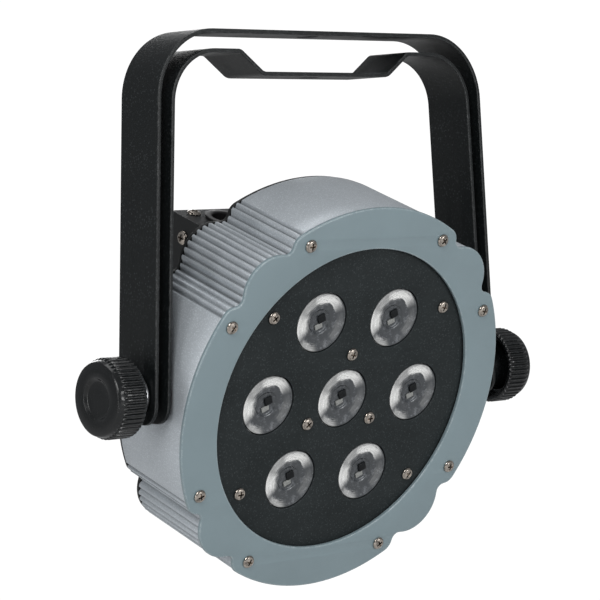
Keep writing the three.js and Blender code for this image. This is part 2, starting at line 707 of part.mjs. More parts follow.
function buildBoxTray() {
  const halfWidth = BOX_HALF_WIDTH - SHEET - GAP;
  const low = BOX_BOTTOM + SHEET + TRAY_SIDE_MARGIN;
  const high = BOX_TOP - SHEET - GAP;
  const rear = panelInside - TRAY_SIDE_MARGIN / 2;
  const pieces = [block(-halfWidth, halfWidth, boxFront, boxFront + SHEET, low, high)];
  const cuts = [rod(COVER_WIRE_HOLE, boxFront - 1, boxFront + 5, "y")];
  for (const side of [-1, 1]) {
    const wall = [side * halfWidth, side * (halfWidth - SHEET)].sort((a, b) => a - b);
    pieces.push(block(...wall, boxFront, rear, low, high));
    const tab = [side * halfWidth, side * (halfWidth - TAB_LENGTH)].sort((a, b) => a - b);
    const tabFront = rear - TAB_LENGTH * 0.75;
    pieces.push(block(...tab, tabFront, rear, high - SHEET, high));
    const hole = BOX_SCREW.shank + SCREW_CLEARANCE;
    const topHole = rod(hole, high - 6, high + 1, "z");
    cuts.push(topHole.translate([side * topScrewAcross, topScrewDepth, 0]));
    const sideHole = rod(hole, -5, 5, "x");
    cuts.push(sideHole.translate([side * halfWidth, sideScrewDepth, sideScrewHeight]));
  }
  const standoffX = driverHalfWidth - STANDOFF_INSET;
  for (const x of [-standoffX, standoffX]) {
    for (const z of [DRIVER.bottom + STANDOFF_INSET, DRIVER.top - STANDOFF_INSET]) {
      const standoff = rod(STANDOFF_RADIUS, boxFront + 0.5, driverFront - GAP, "y");
      pieces.push(standoff.translate([x, 0, z]));
    }
  }
  addMesh(disc, "box_tray", cut(joined(pieces), cuts), paint.zinc);
}

function buildBoards() {
  const driverBack = driverFront + DRIVER.thickness;
  const blocks = DRIVER_BLOCKS.map(({ x, z, width, height, rise }) =>
    block(
      x - width / 2, x + width / 2, driverBack - 0.5, driverBack + rise,
      z - height / 2, z + height / 2,
    ),
  );
  const cans = DRIVER_CANS.map(({ x, z, radius, rise }) =>
    rod(radius, driverBack - 0.5, driverBack + rise, "y").translate([x, 0, z]),
  );
  addMesh(
    disc,
    "driver_board",
    joined([
      block(
        -driverHalfWidth, driverHalfWidth, driverFront, driverBack,
        DRIVER.bottom, DRIVER.top,
      ),
      ...blocks, ...cans,
    ]),
    paint.greenBoard,
  );
  const displayHalf = WINDOW.width / 2 - 3;
  const displayBack = panelInside - WINDOW.flangeThickness - 2 * GAP;
  const display = block(
    -displayHalf, displayHalf, controlBack - 0.5, displayBack,
    WINDOW.centre - WINDOW.height / 2, WINDOW.centre + WINDOW.height / 2,
  );
  const buttonEnd = panelInside - GAP - BUTTON.flangeThickness;
  const switches = buttonPoints.map((x) =>
    rod(SWITCH_RADIUS, controlBack - 0.5, buttonEnd - BUTTON.travel - GAP, "y")
      .translate([x, 0, BUTTON_HEIGHT]),
  );
  addMesh(
    disc,
    "control_board",
    joined([
      block(
        -controlHalfWidth, controlHalfWidth, controlFront, controlBack,
        CONTROL.bottom, CONTROL.top,
      ),
      display, ...switches,
    ]),
    paint.greenBoard,
  );
}

function buildDisplayWindow() {
  const { width, height, centre, flange, flangeThickness } = WINDOW;
  const pane = block(
    -width / 2, width / 2, panelInside - 1, boxRear - GAP,
    centre - height / 2, centre + height / 2,
  );
  const edge = block(
    -width / 2 - flange, width / 2 + flange,
    panelInside - GAP - flangeThickness, panelInside - GAP,
    centre - height / 2 - flange, centre + height / 2 + flange,
  );
  addMesh(disc, "display_window", pane.add(edge), paint.window);
}

function buildButtons() {
  const flangeBack = panelInside - GAP;
  const flangeFront = flangeBack - BUTTON.flangeThickness;
  const cap = turned(
    [
      [0, flangeFront],
      [BUTTON.radius + BUTTON.flange, flangeFront],
      [BUTTON.radius + BUTTON.flange, flangeBack],
      [BUTTON.radius, flangeBack],
      [BUTTON.radius, boxRear + BUTTON.proud - 0.6],
      [BUTTON.radius - 0.6, boxRear + BUTTON.proud],
      [0, boxRear + BUTTON.proud],
    ],
    "y",
    MEDIUM,
  );
  buttonPoints.forEach((x, index) => {
    const mesh = addMesh(disc, `menu_button_${index + 1}`, cap, paint.blackPlastic);
    mesh.position.set(x, 0, BUTTON_HEIGHT);
  });
}

/** A round panel socket whose mouth faces +Z, its flange seated on z = 0. */
function dataSocketBarrel() {
  const outer = DATA_SOCKET.hole - GAP;
  const flange = DATA_SOCKET.hole + DATA_FLANGE.width;
  return turned(
    [
      [0, -DATA_SOCKET.length],
      [outer, -DATA_SOCKET.length],
      [outer, GAP],
      [flange, GAP],
      [flange, DATA_FLANGE.rise],
      [dataBore + 0.6, DATA_FLANGE.rise],
      [dataBore, DATA_FLANGE.rise - 0.6],
      [dataBore, DATA_FLOOR - DATA_SOCKET.length],
      [0, DATA_FLOOR - DATA_SOCKET.length],
    ],
    "z",
    MEDIUM,
  );
}

function buildDataSockets() {
  const floor = DATA_FLOOR - DATA_SOCKET.length;
  const pinAngles = [90, 210, 330];
  const pins = pinAngles.map((angle) => {
    const [x, y] = polar(DATA_PIN.circle, angle);
    return rod(DATA_PIN.radius, floor - 1, floor + DATA_PIN.length, "z").translate([x, y, 0]);
  });
  const dataIn = addMesh(
    disc, "data_in_socket", joined([dataSocketBarrel(), ...pins]), paint.blackPlastic,
  );
  dataIn.position.set(-dataAcross, dataDepth, BOX_TOP);

  const plugTop = DATA_FLANGE.rise - DATA_PLUG.recess;
  const plugRadius = dataBore - DATA_PLUG.clearance;
  const plug = rod(plugRadius, floor - 1, plugTop, "z", MEDIUM);
  const holes = pinAngles.map((angle) => {
    const [x, y] = polar(DATA_PIN.circle, angle);
    return rod(DATA_PIN.radius + 0.3, plugTop - 8, plugTop + 1, "z").translate([x, y, 0]);
  });
  const slotHalf = LATCH.width / 2 + GAP;
  const latchSlot = block(
    -slotHalf, slotHalf, plugRadius - LATCH.depth - GAP, plugRadius + GAP,
    plugTop - LATCH.height - LATCH.travel, DATA_FLANGE.rise + 1,
  );
  const dataOut = addMesh(
    disc,
    "data_out_socket",
    cut(joined([dataSocketBarrel(), plug]), [...holes, latchSlot]),
    paint.blackPlastic,
  );
  dataOut.position.set(dataAcross, dataDepth, BOX_TOP);

  const latchTop = plugTop + LATCH.proud;
  const latch = block(
    -LATCH.width / 2, LATCH.width / 2, plugRadius - LATCH.depth, plugRadius,
    latchTop - LATCH.height, latchTop,
  );
  const latchMesh = addMesh(disc, "data_latch", latch, paint.nickel);
  latchMesh.position.copy(dataOut.position);
}

/** The shell of a power socket whose mouth faces -Z, its flange seated on z = 0. */
function powerSocketShell() {
  const { width, height, length } = POWER_SOCKET;
  const body = block(-width / 2, width / 2, -height / 2, height / 2, -1, length);
  const flange = block(
    -width / 2 - POWER_FLANGE.margin, width / 2 + POWER_FLANGE.margin,
    -height / 2 - POWER_FLANGE.margin, height / 2 + POWER_FLANGE.margin,
    -POWER_FLANGE.rise, -GAP,
  );
  const mouth = block(
    -width / 2 + POWER_WALL, width / 2 - POWER_WALL,
    -height / 2 + POWER_WALL, height / 2 - POWER_WALL,
    -POWER_FLANGE.rise - 1, length - POWER_FLOOR,
  );
  return body.add(flange).subtract(mouth);
}

function bladeAt(x, y, from, to, grow) {
  const halfWidth = BLADE.width / 2 + grow;
  const halfThickness = BLADE.thickness / 2 + grow;
  return block(
    x - halfWidth, x + halfWidth, y - halfThickness, y + halfThickness, from, to,
  );
}

function buildPowerSockets() {
  const floor = POWER_SOCKET.length - POWER_FLOOR;
  const spots = [
    [-BLADE.spacing, -BLADE.earthOffset / 2],
    [BLADE.spacing, -BLADE.earthOffset / 2],
    [0, BLADE.earthOffset / 2],
  ];
  const blades = spots.map(([x, y]) => bladeAt(x, y, floor - BLADE.length, floor + 1, 0));
  const inlet = addMesh(
    disc, "power_inlet", joined([powerSocketShell(), ...blades]), paint.blackPlastic,
  );
  inlet.position.set(-powerAcross, powerDepth, BOX_BOTTOM);

  const islandHalfWidth = POWER_SOCKET.width / 2 - POWER_WALL - ISLAND_CLEARANCE;
  const islandHalfHeight = POWER_SOCKET.height / 2 - POWER_WALL - ISLAND_CLEARANCE;
  const island = block(
    -islandHalfWidth, islandHalfWidth, -islandHalfHeight, islandHalfHeight, 1, floor + 1,
  );
  const slots = spots.map(([x, y]) => bladeAt(x, y, -5, floor - 3, 0.3));
  const outletBody = powerSocketShell().add(cut(island, slots));
  const outlet = addMesh(disc, "power_outlet", outletBody, paint.blackPlastic);
  outlet.position.set(powerAcross, powerDepth, BOX_BOTTOM);
}

function buildBoxScrews() {
  [-1, 1].forEach((side, index) => {
    const top = addMesh(disc, `box_top_screw_${index + 1}`, boxScrewBody, paint.nickel);
    top.rotation.x = -Math.PI / 2;
    top.position.set(side * topScrewAcross, topScrewDepth, BOX_TOP);
    const flank = addMesh(disc, `box_side_screw_${index + 1}`, boxScrewBody, paint.nickel);
    flank.rotation.z = side > 0 ? Math.PI / 2 : -Math.PI / 2;
    flank.position.set(side * BOX_HALF_WIDTH, sideScrewDepth, sideScrewHeight);
  });
}

// --------------------------------------------------------------------- yokes

/** Points along a polyline whose inner corners are rounded, with unit normals. */
function roundedRun(corners, radii, step) {
  const run = [];
  const add = (point, normal) => run.push({ point, normal });
  for (let index = 0; index < corners.length; index += 1) {
    const here = new THREE.Vector2(...corners[index]);
    const before = index > 0 ? new THREE.Vector2(...corners[index - 1]) : null;
    const after = index < corners.length - 1 ? new THREE.Vector2(...corners[index + 1]) : null;
    const into = before ? here.clone().sub(before).normalize() : null;
    const out = after ? after.clone().sub(here).normalize() : null;
    if (!before || !after) {
      const along = into ?? out;
      add(here, new THREE.Vector2(along.y, -along.x));
      continue;
    }
    const turn = Math.atan2(into.x * out.y - into.y * out.x, into.dot(out));
    const side = Math.sign(turn);
    const reach = radii[index] * Math.tan(Math.abs(turn) / 2);
    const start = here.clone().addScaledVector(into, -reach);
    const startNormal = new THREE.Vector2(into.y, -into.x);
    const centre = start.clone().addScaledVector(startNormal, -side * radii[index]);
    const steps = Math.max(2, Math.ceil(Math.abs(turn) / (step * DEGREE)));
    for (let count = 0; count <= steps; count += 1) {
      const normal = startNormal.clone().rotateAround(new THREE.Vector2(), (turn * count) / steps);
      add(centre.clone().addScaledVector(normal, side * radii[index]), normal);
    }
  }
  return run;
}

/** A bent strap seen along Y: its outer face follows the corners, clockwise. */
function bentStrap(corners, radii) {
  const run = roundedRun(corners, radii, 11);
  const outer = run.map(({ point }) => point);
  const inner = run.map(({ point, normal }) => point.clone().addScaledVector(normal, STRAP));
  const shape = new THREE.Shape([...outer, ...inner.reverse()]);
  return plate(shape, -YOKE_WIDTH / 2, YOKE_WIDTH / 2);
}

/** The strap's width profile seen along X, with both tails rounded. */
function strapSideProfile(top) {
  const half = YOKE_WIDTH / 2;
  const corner = YOKE_TAIL_CORNER;
  const shape = new THREE.Shape();
  shape.moveTo(-half, top);
  shape.lineTo(-half, corner - YOKE_TAIL);
  shape.absarc(corner - half, corner - YOKE_TAIL, corner, Math.PI, 1.5 * Math.PI);
  shape.absarc(half - corner, corner - YOKE_TAIL, corner, 1.5 * Math.PI, 2 * Math.PI);
  shape.lineTo(half, top);
  const length = 2 * outerHalfWidth + 40;
  const options = { depth: length, bevelEnabled: false, curveSegments: 5 };
  const geometry = new THREE.ExtrudeGeometry(shape, options);
  geometry.translate(0, 0, -length / 2);
  geometry.rotateX(Math.PI / 2);
  geometry.rotateZ(Math.PI / 2);
  return solid(geometry);
}

function buildYoke(name, { halfWidth, splay, height, bend, saddle }) {
  const lean = Math.tan(splay * DEGREE);
  const foot = halfWidth + (YOKE_TAIL + 1) * lean;
  const shoulder = halfWidth - height * lean;
  const left = [[-foot, -YOKE_TAIL - 1], [-shoulder, height]];
  const middle = saddle
    ? [
        [-saddle.top, height],
        [-saddle.bottom, height - saddle.depth],
        [saddle.bottom, height - saddle.depth],
        [saddle.top, height],
      ]
    : [];
  const right = [[shoulder, height], [foot, -YOKE_TAIL - 1]];
  const corners = [...left, ...middle, ...right];
  const radii = corners.map((_, index) =>
    index === 1 || index === corners.length - 2 ? bend : SADDLE.bend,
  );
  const strap = bentStrap(corners, radii).intersect(strapSideProfile(height + 5));
  const pivotHole = rod(studHole, -2 * halfWidth, 2 * halfWidth, "x", MEDIUM);
  const clampHole = rod(CLAMP_HOLE, height - 30, height + 10, "z", MEDIUM);
  addMesh(pivot, name, cut(strap, [pivotHole, clampHole]), paint.blackPaint);
}

// ------------------------------------------------------------- pivot hardware

/** Adds a piece modelled on the +X side of the pivot, or its turned copy. */
function placeOnSide(name, body, side, look, parent) {
  const mesh = addMesh(parent, name, body, look);
  if (side < 0) mesh.rotation.z = Math.PI;
}

/** The fluted grip of a knob, as a ring with its axis on X. */
function flutedBand(inner, from, to) {
  const pitch = 360 / KNOB_FLUTES;
  const points = [];
  for (let index = 0; index < KNOB_FLUTES; index += 1) {
    const crest = polar(KNOB_RIM.radius, (index + 0.2) * pitch);
    const root = polar(KNOB_RIM.radius - KNOB_FLUTE_DEPTH, (index + 0.7) * pitch);
    points.push(new THREE.Vector2(...crest), new THREE.Vector2(...root));
  }
  const shape = new THREE.Shape(points);
  shape.holes.push(roundHole([0, 0], inner));
  return plate(shape, from, to).rotate([0, 0, -90]);
}

function knobBody() {
  const core = KNOB_RIM.radius - KNOB_FLUTE_DEPTH;
  const cavity = KNOB_RIM.radius - KNOB_UNDERCUT.wall;
  const cavityEnd = rimStart + KNOB_UNDERCUT.depth;
  const turnedCore = turned(
    [
      [0, hubStart],
      [KNOB_HUB.radius, hubStart],
      [KNOB_HUB.radius, rimStart + 0.5],
      [KNOB_UNDERCUT.inner, cavityEnd],
      [cavity, cavityEnd],
      [cavity, rimStart],
      [core, rimStart],
      [core, rimEnd],
      [KNOB_RIM.radius - KNOB_CHAMFER.radial, knobFace],
      [KNOB_DISH.radius, knobFace],
      [KNOB_DISH.radius - KNOB_DISH.slope, knobFace - KNOB_DISH.depth],
      [0, knobFace - KNOB_DISH.depth],
    ],
    "x",
    KNOB_FLUTES / 2,
  );
  const band = flutedBand((cavity + core) / 2, rimStart + 0.8, rimEnd - 0.8);
  const bore = rod(STUD_RADIUS + GAP, hubStart - 1, studOuterEnd + GAP, "x", MEDIUM);
  return turnedCore.add(band).subtract(bore);
}

/** The insert is a flanged bush whose flange bears on the inside of the housing. */
function insertBody() {
  return turned(
    [
      [insertBore, insertInnerEnd],
      [insertFlange, insertInnerEnd],
      [insertFlange, insertFlangeEnd],
      [insertRadius, insertFlangeEnd],
      [insertRadius, pivotFlat - GAP],
      [insertBore, pivotFlat - GAP],
      [insertBore, insertInnerEnd],
    ],
    "x",
  );
}

function buildPivotSide(label, side) {
  const stud = rod(STUD_RADIUS, studInnerEnd, studOuterEnd, "x", MEDIUM);
  const washer = tube(KNOB_WASHER.radius, studHole, washerStart, washerEnd, "x");
  const spacer = tube(spacerRadius, studHole, spacerStart, spacerEnd, "x");
  const friction = tube(FRICTION_RADIUS, studHole, frictionStart, frictionEnd, "x");
  placeOnSide(`${label}_knob`, knobBody(), side, paint.blackPlastic, pivot);
  placeOnSide(`${label}_knob_stud`, stud, side, paint.zinc, pivot);
  placeOnSide(`${label}_knob_washer`, washer, side, paint.zinc, pivot);
  placeOnSide(`${label}_spacer_bush`, spacer, side, paint.nylon, pivot);
  placeOnSide(`${label}_friction_washer`, friction, side, paint.fibre, head);
  placeOnSide(`${label}_pivot_insert`, insertBody(), side, paint.zinc, head);
}

// ------------------------------------------------------------------- assembly

buildYoke("outer_yoke", {
  halfWidth: outerHalfWidth,
  splay: OUTER_SPLAY,
  height: YOKE_HEIGHT,
  bend: OUTER_BEND,
});
buildYoke("inner_yoke", {
  halfWidth: innerHalfWidth,
  splay: INNER_SPLAY,
  height: YOKE_HEIGHT - INNER_DROP,
  bend: INNER_BEND,
  saddle: SADDLE,
});
buildPivotSide("left", -1);
buildPivotSide("right", 1);

buildHousing();
buildBezel();
buildLensPlate();
buildLenses();
buildLedBoard();
buildCarrier();
buildRearCover();
placeScrews("bezel_screw", bezelScrewPoints, 0);
placeScrews("plate_screw", plateScrewPoints, plateFront);
placeScrews("carrier_screw", carrierScrewPoints, plateFront);

buildBoxTray();
buildRearBox();
buildBoards();
buildDisplayWindow();
buildButtons();
buildDataSockets();
buildPowerSockets();
buildBoxScrews();

export default light;
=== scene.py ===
"""Looks for a seven lens par can light that hangs in a double strap yoke."""

import json
import math

import bmesh
import bpy
from mathutils import Matrix, Vector


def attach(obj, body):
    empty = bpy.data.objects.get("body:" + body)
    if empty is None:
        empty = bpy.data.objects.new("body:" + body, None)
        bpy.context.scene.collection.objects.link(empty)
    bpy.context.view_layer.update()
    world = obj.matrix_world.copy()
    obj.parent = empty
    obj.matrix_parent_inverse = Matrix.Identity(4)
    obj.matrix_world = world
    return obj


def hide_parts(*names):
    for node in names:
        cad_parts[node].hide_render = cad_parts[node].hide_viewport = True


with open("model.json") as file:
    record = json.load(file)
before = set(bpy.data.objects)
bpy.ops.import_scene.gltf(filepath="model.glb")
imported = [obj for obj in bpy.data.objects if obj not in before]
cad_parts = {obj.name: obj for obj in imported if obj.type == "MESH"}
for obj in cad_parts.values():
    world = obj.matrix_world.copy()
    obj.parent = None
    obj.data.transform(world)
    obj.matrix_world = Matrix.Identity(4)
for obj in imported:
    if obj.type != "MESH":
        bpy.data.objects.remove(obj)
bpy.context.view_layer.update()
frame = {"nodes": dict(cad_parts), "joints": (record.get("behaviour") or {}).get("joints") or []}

# ---------------------------------------------------------------- sizes in mm

MM = 0.001
GAP = 0.3

# Scalloped outline of the head, as angles from each diagonal in degrees.
OUTLINE_RADIUS = 99.8
LOBE_TIP = 102.1
LOBE_ARC = 18.5
NOTCH_ANGLE = 10.2
NOTCH_ARC = 4.0
SHOULDER_ARC = 7.0
HOUSING_INSET = 0.5
COVER_INSET = 1.0
RIB_COUNT = 17
RIB_PITCH = 2.04
RIB_DEPTH = 1.8
SPOT_FACE = 98.3

# Depths behind the bezel's front face.
BEZEL_THICKNESS = 2.0
PLATE_FRONT = 2.3
PLATE_BACK = 4.3
HOUSING_BACK = 51.5
COVER_FRONT = 51.8
COVER_BACK = 53.8
BOX_FRONT = 54.1
BOX_REAR = 90.0

# Head front.
BEZEL_OPENING = 78.7
PLATE_RADIUS = 86.5
FRONT_BORE = 88.0
REAR_BORE = 79.0
LENS_SPACING = 47.4
LENS_HOLE = 15.5
BEZEL_SCREW_RADIUS = 92.3
BEZEL_SCREW_ANGLE = 17.35
PLATE_SCREW_RADIUS = 71.4
PLATE_SCREW_ANGLE = 39.5
CARRIER_SCREW_RADIUS = 23.4
BORE_LEDGE = 29.6
SCREW_HOLE = 1.7
BOARD_RADIUS = 67.2
BOARD_FRONT = 21.7
BOARD_BACK = 23.3

# Screws as head radius, rise, shank radius and length.
PAN_SCREW = (3.3, 1.7, 1.4, 9.0)
BOX_SCREW = (3.6, 1.8, 1.8, 5.0)

# Electronics box.
BOX_HALF_WIDTH = 57.0
BOX_TOP = 70.0
BOX_BOTTOM = -62.0
SHEET = 1.5
BOX_INSIDE = BOX_REAR - SHEET
DATA_SPOT = (34.0, 73.0)
PIN_CIRCLE = 4.4
PIN_ANGLES = (90, 210, 330)
POWER_SPOT = (28.0, 72.0)
BUTTON_PLACES = (-24, -8, 8, 24)
BUTTON_HEIGHT = 16

# Yokes: half widths are at the strap's outer face on the pivot axis.
STRAP = 2.0
YOKE_WIDTH = 29.0
YOKE_HEIGHT = 172.7
YOKE_TAIL = 13.6
TAIL_CORNER = 9.0
OUTER_YOKE = {"half": 111.2, "splay": 2.63, "height": YOKE_HEIGHT, "bend": 34.0}
INNER_YOKE = {"half": 103.6, "splay": 2.85, "height": YOKE_HEIGHT - 9.4, "bend": 27.0}
SADDLE = {"top": 54.0, "bottom": 40.0, "depth": 10.8, "bend": 5.0}
CLAMP_HOLE = 5.5
STUD_HOLE = 4.7

# ------------------------------------------------------------ frames of reference

tilt_joint = next(j for j in frame["joints"] if j["name"] == "head_tilt")
HEAD_TILT = math.radians(19)
DISC_OFFSET = Vector((0.0, -24.0, -1.2))
PIVOT = Matrix.Translation(tilt_joint["pos_m"]) @ Matrix.Scale(MM, 4)
HEAD = PIVOT @ Matrix.Rotation(HEAD_TILT, 4, "X")
DISC = HEAD @ Matrix.Translation(DISC_OFFSET)

# ---------------------------------------------------------------- camera

camera_data = bpy.data.cameras.new("camera")
camera = bpy.data.objects.new("camera", camera_data)
bpy.context.scene.collection.objects.link(camera)
bpy.context.scene.camera = camera
camera.location = (-0.8417, -0.9812, -0.0774)
camera.rotation_euler = (math.radians(88.143), math.radians(1.414), math.radians(-40.522))
camera_data.sensor_width = 36.0
camera_data.lens = 155.95
camera_data.shift_x = -0.0105
camera_data.shift_y = -0.0442
camera_data.clip_start = 0.05
camera_data.clip_end = 60.0

# ---------------------------------------------------------------- node helpers


def set_inputs(tree, node, inputs):
    """Gives a node its inputs, as values or as sockets to link."""
    for key, value in inputs.items():
        if isinstance(value, bpy.types.NodeSocket):
            tree.links.new(value, node.inputs[key])
        else:
            node.inputs[key].default_value = value


def add_node(tree, kind, inputs=None, **settings):
    node = tree.nodes.new(kind)
    for key, value in settings.items():
        setattr(node, key, value)
    set_inputs(tree, node, inputs or {})
    return node


def calculate(tree, operation, *terms, **settings):
    """The result of a math node."""
    node = add_node(
        tree, "ShaderNodeMath", dict(enumerate(terms)), operation=operation, **settings
    )
    return node.outputs["Value"]


def remap(tree, value, low, high, to_low=0.0, to_high=1.0, curve="LINEAR"):
    """A value moved from one range to another."""
    ranges = {"From Min": low, "From Max": high, "To Min": to_low, "To Max": to_high}
    node = add_node(
        tree, "ShaderNodeMapRange", {"Value": value, **ranges}, interpolation_type=curve
    )
    return node.outputs["Result"]


def blend(tree, factor, first, second, **settings):
    """A colour between two others."""
    inputs = {"Factor": factor, "A": first, "B": second}
    return add_node(tree, "ShaderNodeMix", inputs, data_type="RGBA", **settings).outputs["Result"]


def noise(tree, point, scale, detail, roughness):
    inputs = {"Vector": point, "Scale": scale, "Detail": detail, "Roughness": roughness}
    return add_node(tree, "ShaderNodeTexNoise", inputs).outputs["Fac"]


def relief(tree, height, strength, distance):
    inputs = {"Height": height, "Strength": strength, "Distance": distance}
    return add_node(tree, "ShaderNodeBump", inputs).outputs["Normal"]


def object_point(tree):
    return add_node(tree, "ShaderNodeTexCoord").outputs["Object"]


def begin_group(name, inputs, outputs):
    """A node group with float inputs given as {name: default}, and named float outputs."""
    tree = bpy.data.node_groups.new(name, "ShaderNodeTree")
    for title, default in inputs.items():
        socket = tree.interface.new_socket(title, in_out="INPUT", socket_type="NodeSocketFloat")
        socket.default_value = default
    for title in outputs:
        tree.interface.new_socket(title, in_out="OUTPUT", socket_type="NodeSocketFloat")
    return tree, tree.nodes.new("NodeGroupInput").outputs, tree.nodes.new("NodeGroupOutput")


def make_grain_group():
    """Two sizes of fine lumps, as powder coat and moulded plastic have."""
    tree, given, result = begin_group(
        "fine_grain", {"Coarse Scale": 900.0, "Fine Scale": 2600.0, "Fine Share": 0.5}, ["Height"]
    )
    point = object_point(tree)
    coarse = noise(tree, point, given["Coarse Scale"], 2.0, 0.5)
    fine = noise(tree, point, given["Fine Scale"], 1.0, 0.5)
    lumps = add_node(
        tree, "ShaderNodeMix", {"Factor": given["Fine Share"], "A": coarse, "B": fine},
        data_type="FLOAT",
    )
    set_inputs(tree, result, {"Height": lumps.outputs["Result"]})
    return tree


def make_edge_group():
    """Edges where the finish is rubbed thin, broken up by noise; with a near-white colour, as on
    the bezel, they are also a painted highlight.
    """
    tree, given, result = begin_group(
        "rubbed_and_highlit_edges", {"Width": 0.0004, "Breakup Scale": 400.0, "Low": 0.35}, ["Mask"]
    )
    rounded = add_node(tree, "ShaderNodeBevel", {"Radius": given["Width"]}, samples=6)
    surface = add_node(tree, "ShaderNodeNewGeometry")
    match = add_node(
        tree, "ShaderNodeVectorMath",
        {0: rounded.outputs["Normal"], 1: surface.outputs["Normal"]}, operation="DOT_PRODUCT",
    )
    edge = remap(tree, calculate(tree, "SUBTRACT", 1.0, match.outputs["Value"]), 0.01, 0.22)
    breakup = noise(tree, object_point(tree), given["Breakup Scale"], 3.0, 0.6)
    patch = remap(tree, breakup, given["Low"], 0.62)
    set_inputs(tree, result, {"Mask": calculate(tree, "MULTIPLY", edge, patch)})
    return tree


def make_patch_group():
    """Soft uneven patches, for handling marks and dust."""
    tree, given, result = begin_group(
        "soft_patches", {"Scale": 30.0, "Low": 0.35, "High": 0.7}, ["Mask"]
    )
    clouds = noise(tree, object_point(tree), given["Scale"], 5.0, 0.62)
    mask = remap(tree, clouds, given["Low"], given["High"], curve="SMOOTHSTEP")
    set_inputs(tree, result, {"Mask": mask})
    return tree


def make_fleck_group():
    """Small separate flecks, as metallic lacquer and dust specks show."""
    tree, given, result = begin_group("flecks", {"Scale": 1800.0, "Size": 0.35}, ["Mask", "Tone"])
    cells = add_node(
        tree, "ShaderNodeTexVoronoi", {"Vector": object_point(tree), "Scale": given["Scale"]},
        feature="F1",
    )
    tone = add_node(tree, "ShaderNodeSeparateColor", {"Color": cells.outputs["Color"]})
    inside = calculate(tree, "LESS_THAN", cells.outputs["Distance"], given["Size"])
    set_inputs(tree, result, {"Mask": inside, "Tone": tone.outputs["Red"]})
    return tree


GRAIN = make_grain_group()
EDGES = make_edge_group()
PATCHES = make_patch_group()
FLECKS = make_fleck_group()


def place_group(tree, group, values):
    """The outputs of a group that is placed in a material."""
    node = tree.nodes.new("ShaderNodeGroup")
    node.node_tree = group
    set_inputs(tree, node, values)
    return node.outputs


def rgba(color):
    return (*color, 1.0)


def begin_material(name):
    material = bpy.data.materials.new(name)
    material.use_nodes = True
    tree = material.node_tree
    return material, tree, tree.nodes["Principled BSDF"]


def finish_material(
    name, color, edge_wear_and_highlight, roughness, metallic=0.0, patch_tone=0.85, patch_scale=30.0,
    edge_width=0.0004, edge_share=0.6, grain=(900.0, 2600.0, 0.5), bump=0.1, bump_depth=0.00005,
    coat=0.0, flecks=None, specular=0.5, grooves=0.0,
):
    """A painted, plated or moulded finish: uneven tone, grain, rubbed edges, and optional painted
    edge highlight and painted groove shade.
    """
    material, tree, shader = begin_material(name)
    patches = place_group(tree, PATCHES, {"Scale": patch_scale})["Mask"]
    tone = blend(tree, patches, rgba(color), rgba([c * patch_tone for c in color]))
    if flecks:
        scale, size, fleck_color, share = flecks
        spots = place_group(tree, FLECKS, {"Scale": scale, "Size": size})
        strength = calculate(tree, "MULTIPLY", spots["Mask"], spots["Tone"])
        amount = calculate(tree, "MULTIPLY", strength, share)
        tone = blend(tree, amount, tone, rgba(fleck_color))
    # Edges take the worn colour; where that is near white, as on the bezel, it is a painted
    # highlight as well as rubbed finish.
    if edge_share > 0:
        edges = place_group(tree, EDGES, {"Width": edge_width})["Mask"]
        tone = blend(tree, calculate(tree, "MULTIPLY", edges, edge_share), tone, rgba(edge_wear_and_highlight))
    if grooves:
        # Painted shade: ambient occlusion darkens the colour in recesses, such as the grooves
        # between the housing's ribs.
        shelter = add_node(
            tree, "ShaderNodeAmbientOcclusion", {"Distance": 0.0022}, samples=8, only_local=True
        )
        painted_groove_shade = remap(tree, shelter.outputs["AO"], 0.35, 0.92, 1.0 - grooves)
        tone = blend(tree, 1.0, tone, painted_groove_shade, blend_type="MULTIPLY")
    coarse, fine, fine_share = grain
    lumps = place_group(
        tree, GRAIN, {"Coarse Scale": coarse, "Fine Scale": fine, "Fine Share": fine_share}
    )
    set_inputs(tree, shader, {
        "Base Color": tone, "Metallic": metallic, "Specular IOR Level": specular,
        "Roughness": remap(tree, patches, 0.0, 1.0, *roughness),
        "Coat Weight": coat, "Coat Roughness": 0.15,
        "Normal": relief(tree, lumps["Height"], bump, bump_depth),
    })
    return material


# ---------------------------------------------------------------- materials

strap_coat = finish_material(
    "strap_powder_coat", (0.0042, 0.0056, 0.0060), (0.30, 0.31, 0.315), (0.40, 0.52), specular=0.25,
    grain=(1100.0, 2800.0, 0.5), bump=0.6, bump_depth=0.00010, edge_width=0.0008,
    edge_share=0.95, flecks=(700.0, 0.30, (0.028, 0.032, 0.034), 0.7),
)
cover_coat = finish_material(
    "cover_powder_coat", (0.007, 0.008, 0.0085), (0.09, 0.095, 0.10), (0.40, 0.52), specular=0.35,
    grain=(1500.0, 3800.0, 0.5), bump=0.35, bump_depth=0.00006, edge_share=0.4,
)
# The bezel's near-white edge colour at full share is a painted highlight along its edges, as well
# as rubbed paint.
bezel_enamel = finish_material(
    "bezel_enamel", (0.170, 0.226, 0.246), (0.84, 0.88, 0.89), (0.34, 0.44),
    patch_tone=0.94, grain=(500.0, 1800.0, 0.3), bump=0.10, bump_depth=0.00005,
    edge_width=0.0013, edge_share=1.0, coat=0.2,
)
